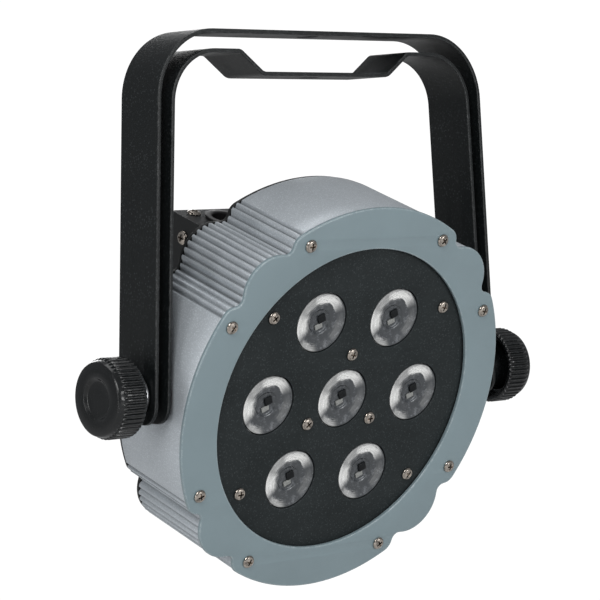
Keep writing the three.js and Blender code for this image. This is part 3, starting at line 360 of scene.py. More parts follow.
# The grooves setting paints shade into the colour between the housing's ribs.
silver_lacquer = finish_material(
    "silver_lacquer", (0.43, 0.465, 0.495), (0.75, 0.78, 0.80), (0.40, 0.48), metallic=0.35,
    patch_tone=0.93, grain=(1300.0, 3600.0, 0.6), bump=0.30, bump_depth=0.00005,
    edge_share=0.35, flecks=(1500.0, 0.42, (0.80, 0.85, 0.89), 0.40), grooves=0.62,
)
plate_coat = finish_material(
    "lens_plate_texture", (0.0110, 0.0150, 0.0160), (0.26, 0.28, 0.29), (0.62, 0.74),
    grain=(1100.0, 2600.0, 0.55), bump=0.9, bump_depth=0.00016, edge_width=0.0005,
    edge_share=0.8, flecks=(860.0, 0.32, (0.056, 0.066, 0.070), 0.45), specular=0.22,
)
nickel = finish_material(
    "nickel_plate", (0.56, 0.50, 0.44), (0.90, 0.86, 0.80), (0.12, 0.26), metallic=1.0,
    patch_tone=0.30, patch_scale=620.0, grain=(1800.0, 5200.0, 0.4), bump=0.12,
    edge_width=0.0002, edge_share=0.5,
)
zinc = finish_material(
    "zinc_plate", (0.52, 0.53, 0.55), (0.75, 0.76, 0.78), (0.28, 0.42), metallic=1.0,
    patch_tone=0.7, patch_scale=160.0, grain=(1200.0, 4200.0, 0.4), bump=0.15, edge_share=0.4,
)
bare_metal = finish_material(
    "bare_aluminium", (0.62, 0.63, 0.65), (0.8, 0.8, 0.82), (0.35, 0.5), metallic=1.0,
    patch_tone=0.85, patch_scale=60.0, bump=0.12,
)
knob_plastic = finish_material(
    "knob_moulding", (0.0046, 0.0054, 0.0058), (0.20, 0.205, 0.21), (0.20, 0.30), specular=0.42,
    grain=(1600.0, 4200.0, 0.5), bump=0.12, bump_depth=0.00004, edge_width=0.0003,
    edge_share=0.55, flecks=(800.0, 0.14, (0.10, 0.10, 0.10), 0.5),
)
black_moulding = finish_material(
    "black_moulding", (0.014, 0.014, 0.015), (0.06, 0.06, 0.065), (0.30, 0.45),
    bump=0.2, edge_share=0.4,
)
white_mask = finish_material(
    "white_solder_mask", (0.76, 0.77, 0.74), (0.82, 0.80, 0.74), (0.35, 0.5),
    patch_tone=0.93, bump=0.08, edge_share=0.2,
)
green_mask = finish_material(
    "green_solder_mask", (0.018, 0.11, 0.055), (0.10, 0.24, 0.14), (0.3, 0.42),
    patch_tone=0.8, patch_scale=200.0, bump=0.25, edge_share=0.3,
)
fibre_sheet = finish_material(
    "red_fibre", (0.115, 0.045, 0.025), (0.20, 0.10, 0.06), (0.75, 0.9),
    patch_scale=300.0, bump=0.5, bump_depth=0.0001,
)
smoked_window = finish_material(
    "smoked_window", (0.022, 0.004, 0.004), (0.06, 0.02, 0.02), (0.06, 0.14),
    bump=0.02, edge_share=0.2, coat=0.5,
)
emitter_body = finish_material(
    "emitter_ceramic", (0.006, 0.007, 0.008), (0.20, 0.21, 0.20), (0.55, 0.65), specular=0.15,
    patch_scale=900.0, bump=0.1, edge_width=0.0002, edge_share=0.5,
)
emitter_chip = finish_material(
    "emitter_chip", (0.24, 0.245, 0.235), (0.5, 0.52, 0.50), (0.25, 0.4),
    patch_scale=1200.0, patch_tone=0.7, bump=0.1, edge_width=0.0002, edge_share=0.4,
)


def window(tree, value, start, rise, fall, end):
    """One between rise and fall, and nothing outside start and end."""
    up = remap(tree, value, start, rise, curve="SMOOTHSTEP")
    down = remap(tree, value, fall, end, 1.0, 0.0, curve="SMOOTHSTEP")
    return calculate(tree, "MULTIPLY", up, down)


# Painted highlight arcs: angles from the lit side in degrees, rim radius shares, and how strong
# each arc is.
SHEEN_ARCS = (
    ((14, 46, 68, 96), (0.42, 0.66, 1.1, 1.2), 0.95),
    ((-112, -62, -26, 4), (0.62, 0.68, 0.86, 1.0), 1.0),
    ((-70, -20, 30, 52), (0.50, 0.72, 1.1, 1.2), 0.42),
    ((84, 104, 124, 146), (0.74, 0.86, 1.1, 1.2), 0.45),
    ((-180, -170, -140, -96), (0.60, 0.74, 0.86, 0.98), 0.10),
)


def make_painted_sheen_group():
    """Painted highlight arcs where the curved side of a moulded optic gathers light, and its pillow
    texture.
    """
    tree, given, result = begin_group(
        "optic_painted_sheen", {"Rim": 0.0152, "Turn": 130.0, "Pillow Pitch": 0.0009}, ["Light", "Pillows"]
    )
    point = object_point(tree)
    axes = add_node(tree, "ShaderNodeSeparateXYZ", {"Vector": point}).outputs
    squares = [calculate(tree, "MULTIPLY", axes[axis], axes[axis]) for axis in ("X", "Z")]
    radius = calculate(tree, "SQRT", calculate(tree, "ADD", *squares))
    share = calculate(tree, "DIVIDE", radius, given["Rim"])
    spin = add_node(
        tree, "ShaderNodeVectorRotate",
        {"Vector": point, "Angle": calculate(tree, "RADIANS", given["Turn"])},
        rotation_type="Y_AXIS",
    )
    spun = add_node(tree, "ShaderNodeSeparateXYZ", {"Vector": spin.outputs["Vector"]}).outputs
    swing = calculate(tree, "ARCTAN2", spun["Z"], spun["X"])
    angle = calculate(tree, "DEGREES", swing)

    # Streaks in the painted highlight follow the circles of the optic.
    lanes = add_node(
        tree, "ShaderNodeCombineXYZ", {"X": swing, "Y": calculate(tree, "MULTIPLY", share, 9.0)}
    )
    streaks = noise(tree, lanes.outputs["Vector"], 2.2, 4.0, 0.6)
    bent = calculate(tree, "ADD", share, remap(tree, streaks, 0.3, 0.7, -0.07, 0.07))
    light = 0.0
    for angles, radii, strength in SHEEN_ARCS:
        across = window(tree, angle, *angles)
        outward = window(tree, bent, *radii)
        level = calculate(tree, "MULTIPLY", calculate(tree, "MULTIPLY", across, outward), strength)
        light = calculate(tree, "MAXIMUM", light, level)
    uneven = remap(tree, streaks, 0.25, 0.75, 0.55, 1.25)

    # Small square pillows, set in rows across the face.
    waves = []
    for axis in ("X", "Z"):
        step = calculate(tree, "DIVIDE", axes[axis], given["Pillow Pitch"])
        waves.append(calculate(tree, "COSINE", calculate(tree, "MULTIPLY", step, 2 * math.pi)))
    set_inputs(tree, result, {
        "Light": calculate(tree, "MULTIPLY", light, uneven),
        "Pillows": remap(tree, calculate(tree, "MULTIPLY", *waves), -1.0, 1.0),
    })
    return tree


def make_lens_material():
    """A moulded optic, drawn as a dark bowl with painted highlight arcs in its colour."""
    material, tree, shader = begin_material("clear_optic")
    sheen = place_group(tree, make_painted_sheen_group(), {})
    haze = place_group(tree, PATCHES, {"Scale": 420.0, "Low": 0.42, "High": 0.78})["Mask"]
    dark = blend(tree, haze, rgba((0.040, 0.045, 0.050)), rgba((0.105, 0.112, 0.122)))
    pillow_tone = remap(tree, sheen["Pillows"], 0.0, 1.0, 0.80, 1.16)
    amount = calculate(tree, "MULTIPLY", sheen["Light"], pillow_tone, use_clamp=True)
    # The near-white colour is the painted highlight of the arcs, laid over the dark base.
    set_inputs(tree, shader, {
        "Base Color": blend(tree, amount, dark, rgba((0.92, 0.92, 0.90))), "Metallic": 0.35,
        "Roughness": remap(tree, haze, 0.0, 1.0, 0.22, 0.36),
        "Coat Weight": 0.5, "Coat Roughness": 0.12,
        "Normal": relief(tree, sheen["Pillows"], 0.35, 0.00006),
    })
    return material


lens_clear = make_lens_material()

# ---------------------------------------------------------------- mesh helpers


def polar(radius, angle):
    """Across and up on a circle, at an angle in degrees from +X."""
    return radius * math.cos(math.radians(angle)), radius * math.sin(math.radians(angle))


def tidy_mesh(mesh, sharp_angle=34):
    """Merges doubles, turns faces outward, and shades smooth up to an angle."""
    made = bmesh.new()
    made.from_mesh(mesh)
    bmesh.ops.remove_doubles(made, verts=made.verts, dist=1e-4)
    bmesh.ops.dissolve_degenerate(made, edges=made.edges, dist=1e-4)
    bmesh.ops.recalc_face_normals(made, faces=made.faces)
    made.to_mesh(mesh)
    made.free()
    mesh.shade_smooth()
    mesh.set_sharp_from_angle(angle=math.radians(sharp_angle))
    return mesh


def mesh_from(points, faces, sharp_angle=34):
    mesh = bpy.data.meshes.new("part")
    mesh.from_pydata(points, [], faces)
    return tidy_mesh(mesh, sharp_angle)


def loft(rings, closed=False, sharp_angle=34):
    """Skin over rings of equal length; a ring of one point closes an end."""
    points, faces, starts = [], [], []
    for ring in rings:
        starts.append(len(points))
        points.extend(ring)
    pairs = list(zip(range(len(rings)), range(1, len(rings))))
    if closed:
        pairs.append((len(rings) - 1, 0))
    for a, b in pairs:
        ring_a, ring_b = rings[a], rings[b]
        count = max(len(ring_a), len(ring_b))
        for i in range(count):
            j = (i + 1) % count
            corner_a = [starts[a]] if len(ring_a) == 1 else [starts[a] + i, starts[a] + j]
            corner_b = [starts[b]] if len(ring_b) == 1 else [starts[b] + j, starts[b] + i]
            faces.append(corner_a + corner_b)
    return mesh_from(points, faces, sharp_angle)


def soften(profile, radius, steps=3):
    """Rounds the inner corners of an open profile."""
    soft = [profile[0]]
    for before, here, after in zip(profile, profile[1:], profile[2:]):
        corner, start, end = Vector(here), Vector(before), Vector(after)
        to_start, to_end = start - corner, end - corner
        if to_start.length < 1e-6 or to_end.length < 1e-6:
            continue
        reach_in = min(radius, to_start.length * 0.45)
        reach_out = min(radius, to_end.length * 0.45)
        a = corner + to_start.normalized() * reach_in
        b = corner + to_end.normalized() * reach_out
        for step in range(steps + 1):
            t = step / steps
            soft.append(tuple(a * (1 - t) ** 2 + corner * (2 * t * (1 - t)) + b * t ** 2))
    soft.append(profile[-1])
    return soft


AXES = {
    "x": lambda a, b, along: (along, a, b),
    "y": lambda a, b, along: (a, along, b),
    "z": lambda a, b, along: (a, b, along),
}


def turned(profile, axis, segments=64, edge=0.3, closed=False, sharp_angle=34):
    """A turned piece from (radius, distance) pairs, with its corners rounded by edge."""
    put = AXES[axis]
    path = profile
    if closed:
        path = soften([profile[-1], *profile, profile[0]], edge)[1:-1] if edge else profile
    elif edge:
        path = soften(profile, edge)
    rings = []
    for radius, distance in path:
        if radius < 1e-6:
            rings.append([put(0.0, 0.0, distance)])
            continue
        ring = []
        for index in range(segments):
            a, b = polar(radius, 360 * index / segments)
            ring.append(put(a, b, distance))
        rings.append(ring)
    return loft(rings, closed, sharp_angle)


def rod(radius, start, end, axis, segments=48, edge=0):
    """A solid round bar along an axis."""
    return turned([(0, start), (radius, start), (radius, end), (0, end)], axis, segments, edge)


def prism(first, last):
    """A solid between two loops of equal length."""
    count = len(first)
    faces = [list(range(count)), list(range(2 * count - 1, count - 1, -1))]
    faces += [[i, (i + 1) % count, count + (i + 1) % count, count + i] for i in range(count)]
    return mesh_from(first + last, faces)


def box_mesh(low, high, edge=0.4):
    """A block between two corners with rounded edges."""
    made = bmesh.new()
    bmesh.ops.create_cube(made, size=1.0)
    middle = [(a + b) / 2 for a, b in zip(low, high)]
    size = [b - a for a, b in zip(low, high)]
    bmesh.ops.transform(
        made, verts=made.verts,
        matrix=Matrix.Translation(middle) @ Matrix.Diagonal((*size, 1.0)),
    )
    if edge:
        bmesh.ops.bevel(
            made, geom=made.edges[:], offset=edge, segments=2, profile=0.5,
            affect="EDGES",
        )
    mesh = bpy.data.meshes.new("block")
    made.to_mesh(mesh)
    made.free()
    return tidy_mesh(mesh)


def round_loop(centre, radius, count=96):
    spots = [polar(radius, 360 * index / count) for index in range(count)]
    return [(centre[0] + a, centre[1] + b) for a, b in spots]


def sheet_mesh(outline, holes, front, back, edge=0.3, steps=2, sharp_angle=34):
    """A flat plate in the XZ plane from y = front to y = back, with rounded edges."""
    curve = bpy.data.curves.new("outline", "CURVE")
    curve.dimensions = "2D"
    curve.fill_mode = "BOTH"
    curve.extrude = (back - front) / 2 - edge
    curve.bevel_depth = edge
    curve.bevel_resolution = steps
    curve.offset = -edge
    for loop in [outline, *holes]:
        spline = curve.splines.new("POLY")
        spline.points.add(len(loop) - 1)
        for point, (a, b) in zip(spline.points, loop):
            point.co = (a, b, 0.0, 1.0)
        spline.use_cyclic_u = True
    carrier = bpy.data.objects.new("outline", curve)
    bpy.context.scene.collection.objects.link(carrier)
    ready = carrier.evaluated_get(bpy.context.evaluated_depsgraph_get())
    mesh = bpy.data.meshes.new_from_object(ready)
    bpy.data.objects.remove(carrier)
    bpy.data.curves.remove(curve)
    lay = Matrix.Rotation(math.radians(90), 4, "X")
    mesh.transform(Matrix.Translation((0, (front + back) / 2, 0)) @ lay)
    return tidy_mesh(mesh, sharp_angle)


def merged(*meshes):
    """One mesh that holds several."""
    made = bmesh.new()
    for mesh in meshes:
        made.from_mesh(mesh)
    result = bpy.data.meshes.new("part")
    made.to_mesh(result)
    made.free()
    result.shade_smooth()
    result.set_sharp_from_angle(angle=math.radians(34))
    return result


def moved(mesh, offset, turn=None):
    copy = mesh.copy()
    copy.transform(Matrix.Translation(offset) @ (turn or Matrix.Identity(4)))
    return copy


def carved(mesh, cutters, sharp_angle=34):
    """The mesh with the cutters taken away."""
    base = bpy.data.objects.new("base", mesh)
    bpy.context.scene.collection.objects.link(base)
    tools = []
    for cutter in cutters:
        tool = bpy.data.objects.new("cutter", cutter)
        bpy.context.scene.collection.objects.link(tool)
        tools.append(tool)
        step = base.modifiers.new("carve", "BOOLEAN")
        step.operation = "DIFFERENCE"
        step.solver = "EXACT"
        step.object = tool
    ready = base.evaluated_get(bpy.context.evaluated_depsgraph_get())
    result = bpy.data.meshes.new_from_object(ready)
    for thing in (base, *tools):
        bpy.data.objects.remove(thing)
    return tidy_mesh(result, sharp_angle)


def add_piece(name, mesh, look, body, place, replaced=(), shared=False):
    """Puts a mesh made in mm into the frame, and rides it on its CAD body.

    A shared mesh is in metres already and has its material, so only its object is placed.
    """
    piece = bpy.data.objects.new(name, mesh)
    bpy.context.scene.collection.objects.link(piece)
    if shared:
        piece.matrix_world = place @ Matrix.Scale(1 / MM, 4)
    else:
        mesh.transform(place)
        mesh.update()
        mesh.materials.append(look)
    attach(piece, body)
    if replaced:
        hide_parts(*replaced)
    return piece


def share_mesh(mesh, look):
    """Readies a mesh that several pieces use."""
    mesh.materials.append(look)
    mesh.transform(Matrix.Scale(MM, 4))
    return mesh


def round_edges(piece, width, angle=40):
    """Small rounded edges on a carved piece."""
    step = piece.modifiers.new("round_edges", "BEVEL")
    step.width = width * MM
    step.segments = 2
    step.limit_method = "ANGLE"
    step.angle_limit = math.radians(angle)
    step.harden_normals = False
    return piece


# ------------------------------------------------------------ scalloped outline


def ray_to_arc(centre, centre_angle, arc, angle, side):
    turn = math.radians(angle - centre_angle)
    reach = math.sqrt(max(arc ** 2 - (centre * math.sin(turn)) ** 2, 0.0))
    return centre * math.cos(turn) + side * reach


def meeting_angle(centre_a, angle_a, centre_b, angle_b, arc_a, arc_b):
    ax, ay = polar(centre_a, angle_a)
    bx, by = polar(centre_b, angle_b)
    share = arc_a / (arc_a + arc_b)
    return math.degrees(math.atan2(ay + (by - ay) * share, ax + (bx - ax) * share))


LOBE_CENTRE = LOBE_TIP - LOBE_ARC
NOTCH_CENTRE = LOBE_CENTRE * math.cos(math.radians(NOTCH_ANGLE)) + math.sqrt(
    (LOBE_ARC + NOTCH_ARC) ** 2 - (LOBE_CENTRE * math.sin(math.radians(NOTCH_ANGLE))) ** 2
)
SHOULDER_CENTRE = OUTLINE_RADIUS - SHOULDER_ARC
SHOULDER_ANGLE = NOTCH_ANGLE + math.degrees(math.acos(
    (NOTCH_CENTRE ** 2 + SHOULDER_CENTRE ** 2 - (NOTCH_ARC + SHOULDER_ARC) ** 2)
    / (2 * NOTCH_CENTRE * SHOULDER_CENTRE)
))
LOBE_END = meeting_angle(LOBE_CENTRE, 0, NOTCH_CENTRE, NOTCH_ANGLE, LOBE_ARC, NOTCH_ARC)
NOTCH_END = meeting_angle(
    NOTCH_CENTRE, NOTCH_ANGLE, SHOULDER_CENTRE, SHOULDER_ANGLE, NOTCH_ARC, SHOULDER_ARC
)


def scallop_radius(offset):
    """Radius of the outline at an angle away from a diagonal."""
    angle = abs(offset)
    if angle < LOBE_END:
        return ray_to_arc(LOBE_CENTRE, 0, LOBE_ARC, angle, 1)
    if angle < NOTCH_END:
        return ray_to_arc(NOTCH_CENTRE, NOTCH_ANGLE, NOTCH_ARC, angle, -1)
    if angle < SHOULDER_ANGLE:
        return ray_to_arc(SHOULDER_CENTRE, SHOULDER_ANGLE, SHOULDER_ARC, angle, 1)
    return OUTLINE_RADIUS


def scallop_loop(inset=0.0, steps=128):
    """Points round the outline, closer together than the eye can tell."""
    points = []
    for quarter in range(4):
        for step in range(steps):
            offset = -45 + 90 * step / steps
            radius = scallop_radius(offset) - inset
            points.append(polar(radius, 45 + 90 * quarter + offset))
    return points


# ------------------------------------------------------------ head front


def screw_points():
    bezel, plate, carrier = [], [], []
    for diagonal in (45, 135, 225, 315):
        for side in (-1, 1):
            bezel.append(polar(BEZEL_SCREW_RADIUS, diagonal + side * BEZEL_SCREW_ANGLE))
    for angle in (
        PLATE_SCREW_ANGLE, 180 - PLATE_SCREW_ANGLE, 180 + PLATE_SCREW_ANGLE, -PLATE_SCREW_ANGLE,
    ):
        plate.append(polar(PLATE_SCREW_RADIUS, angle))
    for angle in (90, 210, 330):
        carrier.append(polar(CARRIER_SCREW_RADIUS, angle))
    return bezel, plate, carrier


bezel_screws, plate_screws, carrier_screws = screw_points()
lens_points = [(0.0, 0.0)] + [polar(LENS_SPACING, 60 * index) for index in range(6)]

def build_bezel():
    holes = [round_loop((0, 0), BEZEL_OPENING, 240)]
    holes += [round_loop(point, SCREW_HOLE, 24) for point in bezel_screws]
    mesh = sheet_mesh(scallop_loop(), holes, 0.0, BEZEL_THICKNESS, edge=0.55, steps=3)
    add_piece("bezel_ring", mesh, bezel_enamel, "head", DISC, ["bezel"])


def build_lens_plate():
    holes = [round_loop(point, LENS_HOLE, 96) for point in lens_points]
    holes += [round_loop(point, SCREW_HOLE, 24) for point in plate_screws + carrier_screws]
    mesh = sheet_mesh(
        round_loop((0, 0), PLATE_RADIUS, 200), holes, PLATE_FRONT, PLATE_BACK, edge=0.3
    )
    add_piece("lens_plate_disc", mesh, plate_coat, "head", DISC, ["lens_plate"])


def rib_samples():
    """Offsets from a diagonal with the sink of the grooves at each."""
    zone = RIB_COUNT * RIB_PITCH / 2
    samples = []
    for rib in range(RIB_COUNT):
        start = -zone + rib * RIB_PITCH
        for share, sink in (
            (0.0, 0.0), (0.05, 0.03), (0.12, 0.16), (0.40, 0.93), (0.48, 1.0),
            (0.55, 0.93), (0.70, 0.16), (0.76, 0.03), (0.82, 0.0),
        ):
            samples.append((start + share * RIB_PITCH, sink * RIB_DEPTH))
    plain = 90 - 2 * zone
    samples += [(zone + plain * step / 48, 0.0) for step in range(48)]
    return samples


def build_housing():
    """The ribbed ring: grooves run along its depth at each diagonal."""
    samples = rib_samples()

    def outer(inset, depth):
        ring = []
        for quarter in range(4):
            for offset, sink in samples:
                from_diagonal = offset - 90 if offset > 45 else offset
                radius = scallop_radius(from_diagonal) - HOUSING_INSET - sink - inset
                a, b = polar(radius, 45 + 90 * quarter + offset)
                ring.append((a, depth, b))
        return ring

    def bore(radius, depth):
        ring = []
        for quarter in range(4):
            for offset, _ in samples:
                a, b = polar(radius, 45 + 90 * quarter + offset)
                ring.append((a, depth, b))
        return ring

    front, back = BEZEL_THICKNESS + GAP, HOUSING_BACK
    rings = [
        outer(0.45, front), outer(0.12, front + 0.15), outer(0.0, front + 0.45),
        outer(0.0, 14.0), outer(0.0, 26.0), outer(0.0, 38.0),
        outer(0.0, back - 0.35), outer(0.10, back - 0.10), outer(0.35, back),
        bore(REAR_BORE, back), bore(REAR_BORE, BORE_LEDGE),
        bore(FRONT_BORE, BORE_LEDGE), bore(FRONT_BORE, front),
    ]
    ring_mesh = loft(rings, closed=True, sharp_angle=50)
    cutters = []
    for side in (-1, 1):
        spot = rod(12, SPOT_FACE, 110, "x", 64)
        hole = rod(7.3, 70, 108, "x")
        seat = rod(9.3, 70, 87.4, "x")
        flip = Matrix.Rotation(math.pi if side < 0 else 0, 4, "Z")
        cutters += [moved(part, -DISC_OFFSET, flip) for part in (spot, hole, seat)]
    mesh = carved(ring_mesh, cutters, sharp_angle=50)
    add_piece(
        "housing_ring", mesh, silver_lacquer, "head", DISC, ["housing"]
    )


def build_rear_cover():
    mesh = sheet_mesh(
        scallop_loop(COVER_INSET), [round_loop((0, 0), 9.0, 64)], COVER_FRONT, COVER_BACK,
        edge=0.45,
    )
    add_piece("rear_cover_plate", mesh, cover_coat, "head", DISC, ["rear_cover"])


def screw_mesh(radius, rise, shank, length):
    """A pan head screw with a cross recess, its seat at y = 0 and its head towards -Y."""
    profile = [
        (0.0, -rise), (radius * 0.45, -rise * 0.97), (radius * 0.80, -rise * 0.78),
        (radius * 0.97, -rise * 0.42), (radius, -GAP * 1.2), (radius * 0.97, -GAP),
        (shank, -GAP), (shank, length), (0.0, length),
    ]
    head = turned(profile, "y", 48, edge=0.12)
    wide, narrow = radius * 0.62, radius * 0.15

    def cross(reach, half, depth):
        quarter = [(reach, -half), (reach, half), (half, half)]
        loop = []
        for turn in range(4):
            c, s = round(math.cos(turn * math.pi / 2)), round(math.sin(turn * math.pi / 2))
            loop += [(a * c - b * s, depth, a * s + b * c) for a, b in quarter]
        return loop

    top, bottom = cross(wide, narrow, -rise - 0.5), cross(wide * 0.55, narrow * 0.7, 0.0)
    return carved(head, [prism(top, bottom)])


def build_screws():
    small = share_mesh(screw_mesh(*PAN_SCREW), nickel)
    large = share_mesh(screw_mesh(*BOX_SCREW), nickel)
    rows = (
        ("bezel_screw", bezel_screws, 0.0), ("plate_screw", plate_screws, PLATE_FRONT),
        ("carrier_screw", carrier_screws, PLATE_FRONT),
    )
    for prefix, points, seat in rows:
        for index, (x, z) in enumerate(points):
            spin = Matrix.Rotation(math.radians(37 * index + 12), 4, "Y")
            place = DISC @ Matrix.Translation((x, seat, z)) @ spin
            node = f"{prefix}_{index + 1}"
            add_piece(
                f"{node}_head", small, nickel, "head", place, [node], shared=True
            )
    for index, side in enumerate((-1, 1)):
        up = Matrix.Translation((side * 47.5, 83.6, BOX_TOP)) @ Matrix.Rotation(
            -math.pi / 2, 4, "X"
        )
        out = Matrix.Translation((side * BOX_HALF_WIDTH, 77.0, 60.0)) @ Matrix.Rotation(
            side * math.pi / 2, 4, "Z"
        )
        for kind, place in (("top", up), ("side", out)):
            node = f"box_{kind}_screw_{index + 1}"
            add_piece(
                f"{node}_head", large, nickel, "head", DISC @ place, [node],
                shared=True,
            )


def build_lenses():
    """A moulded collimator: flat textured face, curved side, and a pocket over the emitter."""
    face, flange_front, flange_back, tail = PLATE_FRONT + 0.5, 4.6, 6.4, 21.4
    rim = LENS_HOLE - 2 * GAP
    side = []
    for step in range(9):
        t = step / 8
        side.append((rim - 0.6 - (rim - 7.6) * t ** 1.55, flange_back + (tail - flange_back) * t))
    bowl = []
    for step in range(15):
        t = step / 14
        bowl.append((7.0 + (rim - 0.9 - 7.0) * t, face + 1.3 * (1 - t ** 1.8)))
    profile = [
        (0.0, face + 2.2), (5.2, face + 2.2), (5.8, face + 2.0), (6.3, face + 1.5),
        (6.6, face + 1.3), *bowl, (rim - 0.6, face), (rim, face), (rim, flange_front),
        (rim + 1.2, flange_front), (rim + 1.2, flange_back), *side, (7.0, tail), (4.4, tail),
        (4.0, tail - 6.0), (2.2, tail - 7.2), (0.0, tail - 7.7),
    ]
    lens = share_mesh(turned(profile, "y", 96, edge=0.12, sharp_angle=28), lens_clear)
    tilt = Matrix.Rotation(math.radians(-24), 4, "Y")
    chip = moved(box_mesh((-2.1, -1.0, -1.9), (2.1, 0.05, 2.1), edge=0.12), (1.2, 0, 1.4), tilt)
    bond = moved(box_mesh((-2.2, -0.8, -1.3), (2.2, 0.05, 1.3), edge=0.3), (0.2, 0, -2.6), tilt)
    for index, (x, z) in enumerate(lens_points):
        node = "lens_centre" if index == 0 else f"lens_{index}"
        place = DISC @ Matrix.Translation((x, 0, z))
        add_piece(
            f"{node}_optic", lens, lens_clear, "head", place, [node], shared=True
        )
        image = DISC @ Matrix.Translation((x, face + 2.2, z))
        add_piece(f"{node}_chip", chip.copy(), emitter_body, "head", image)
        add_piece(f"{node}_bond", bond.copy(), emitter_chip, "head", image)


def build_led_board():
    holes = [round_loop(point, 3.8, 32) for point in carrier_screws]
    holes.append(round_loop(polar(LENS_SPACING, 90), 5.0, 40))
    board = sheet_mesh(
        round_loop((0, 0), BOARD_RADIUS, 160), holes, BOARD_FRONT, BOARD_BACK, edge=0.15
    )
    add_piece("led_board_disc", board, white_mask, "head", DISC, ["led_board"])
    base = box_mesh((-2.6, 20.5, -2.6), (2.6, BOARD_FRONT, 2.6), edge=0.25)
    bond = box_mesh((-1.5, 20.2, -1.5), (1.5, 20.5, 1.5), edge=0.08)
    for index, (x, z) in enumerate(lens_points):
        place = (x, 0, z)
        add_piece(
            f"emitter_{index + 1}_body", moved(base, place), emitter_body, "head",
            DISC,
        )
        add_piece(
            f"emitter_{index + 1}_chip", moved(bond, place), emitter_chip, "head",
            DISC,
        )


# ------------------------------------------------------------ electronics box


def rounded_box(half, y0, y1, z0, z1, corner):
    """A block whose two rear upright edges are rounded."""
    loop = [(-half, y0), (half, y0)]
    for centre, start in (((half - corner, y1 - corner), 0), ((corner - half, y1 - corner), 90)):
        for step in range(9):
            a, b = polar(corner, start + 90 * step / 8)
            loop.append((centre[0] + a, centre[1] + b))
    return prism([(x, y, z0) for x, y in loop], [(x, y, z1) for x, y in loop])


def build_rear_box():
    shell = rounded_box(BOX_HALF_WIDTH, BOX_FRONT, BOX_REAR, BOX_BOTTOM, BOX_TOP, 2.5)
    cutters = [
        rounded_box(
            BOX_HALF_WIDTH - SHEET, BOX_FRONT - 1, BOX_INSIDE,
            BOX_BOTTOM + SHEET, BOX_TOP - SHEET, 1.0,
        ),
        box_mesh((-22.3, BOX_INSIDE - 1, 28.2), (22.3, BOX_REAR + 1, 43.8), edge=0),
    ]
    for side in (-1, 1):
        data = rod(10.5, 60, 80, "z", 64)
        cutters.append(moved(data, (side * DATA_SPOT[0], DATA_SPOT[1], 0)))
        x = side * POWER_SPOT[0]
        cutters.append(box_mesh((x - 13.8, 62.2, -70), (x + 13.8, 81.8, -55), edge=0))
    for x in BUTTON_PLACES:
        hole = rod(4.3, BOX_INSIDE - 1, 92, "y")
        cutters.append(moved(hole, (x, 0, BUTTON_HEIGHT)))
    mesh = carved(shell, cutters)
    piece = add_piece(
        "rear_box_shell", mesh, cover_coat, "head", DISC, ["rear_box"]
    )
    round_edges(piece, 0.35)


def build_data_sockets():
    barrel = turned(
        [
            (0, -18), (10.2, -18), (10.2, GAP), (11.8, GAP), (11.8, 1.4), (9.0, 1.4),
            (8.4, 0.8), (8.4, -15), (0, -15),
        ],
        "z", 72, edge=0.25,
    )
    pins = [
        moved(rod(1.2, -16, -6, "z", 24, edge=0.3), (*polar(PIN_CIRCLE, angle), 0))
        for angle in PIN_ANGLES
    ]
    plug = rod(6.9, -16, -1.6, "z", 64, edge=0.4)
    holes = [
        moved(rod(1.5, -12, 3, "z", 24), (*polar(PIN_CIRCLE, angle), 0))
        for angle in PIN_ANGLES
    ]
    slot = box_mesh((-3.3, 3.2, -8.1), (3.3, 8.0, 2.4), edge=0)
    plug = carved(plug, [*holes, slot])
    up = Matrix.Translation((-DATA_SPOT[0], DATA_SPOT[1], BOX_TOP))
    add_piece(
        "data_in_shell", merged(barrel), black_moulding, "head", DISC @ up,
        ["data_in_socket"],
    )
    add_piece(
        "data_in_pins", merged(*pins), nickel, "head", DISC @ up,
    )
    up = Matrix.Translation((*DATA_SPOT, BOX_TOP))
    add_piece(
        "data_out_shell", merged(barrel, plug), black_moulding, "head",
        DISC @ up, ["data_out_socket"],
    )
    latch = box_mesh((-3, 3.5, -5.2), (3, 6.9, -0.2), edge=0.5)
    add_piece(
        "data_latch_tab", latch, zinc, "latch", DISC @ up, ["data_latch"]
    )


def build_power_sockets():
    body = box_mesh((-13.5, -9.5, -1), (13.5, 9.5, 20), edge=0.6)
    flange = box_mesh((-15.6, -11.6, -2), (15.6, 11.6, -GAP), edge=0.6)
    mouth = box_mesh((-11.5, -7.5, -3), (11.5, 7.5, 17), edge=1.2)
    shell = merged(carved(body, [mouth]), carved(flange, [mouth]))
    spots = [(-6.8, -1.75), (6.8, -1.75), (0, 1.75)]
    blades = [box_mesh((x - 1, y - 2, 7), (x + 1, y + 2, 18), edge=0.3) for x, y in spots]
    down = Matrix.Translation((-POWER_SPOT[0], POWER_SPOT[1], BOX_BOTTOM))
    add_piece(
        "power_inlet_shell", shell.copy(), black_moulding, "head",
        DISC @ down, ["power_inlet"],
    )
    add_piece(
        "power_inlet_blades", merged(*blades), nickel, "head", DISC @ down
    )
    island = box_mesh((-9.3, -5.3, 1), (9.3, 5.3, 18), edge=0.5)
    slots = [box_mesh((x - 1.3, y - 2.3, -5), (x + 1.3, y + 2.3, 14), edge=0) for x, y in spots]
    down = Matrix.Translation((*POWER_SPOT, BOX_BOTTOM))
    add_piece(
        "power_outlet_shell", merged(shell, carved(island, slots)), black_moulding, "head",
        DISC @ down, ["power_outlet"],
    )


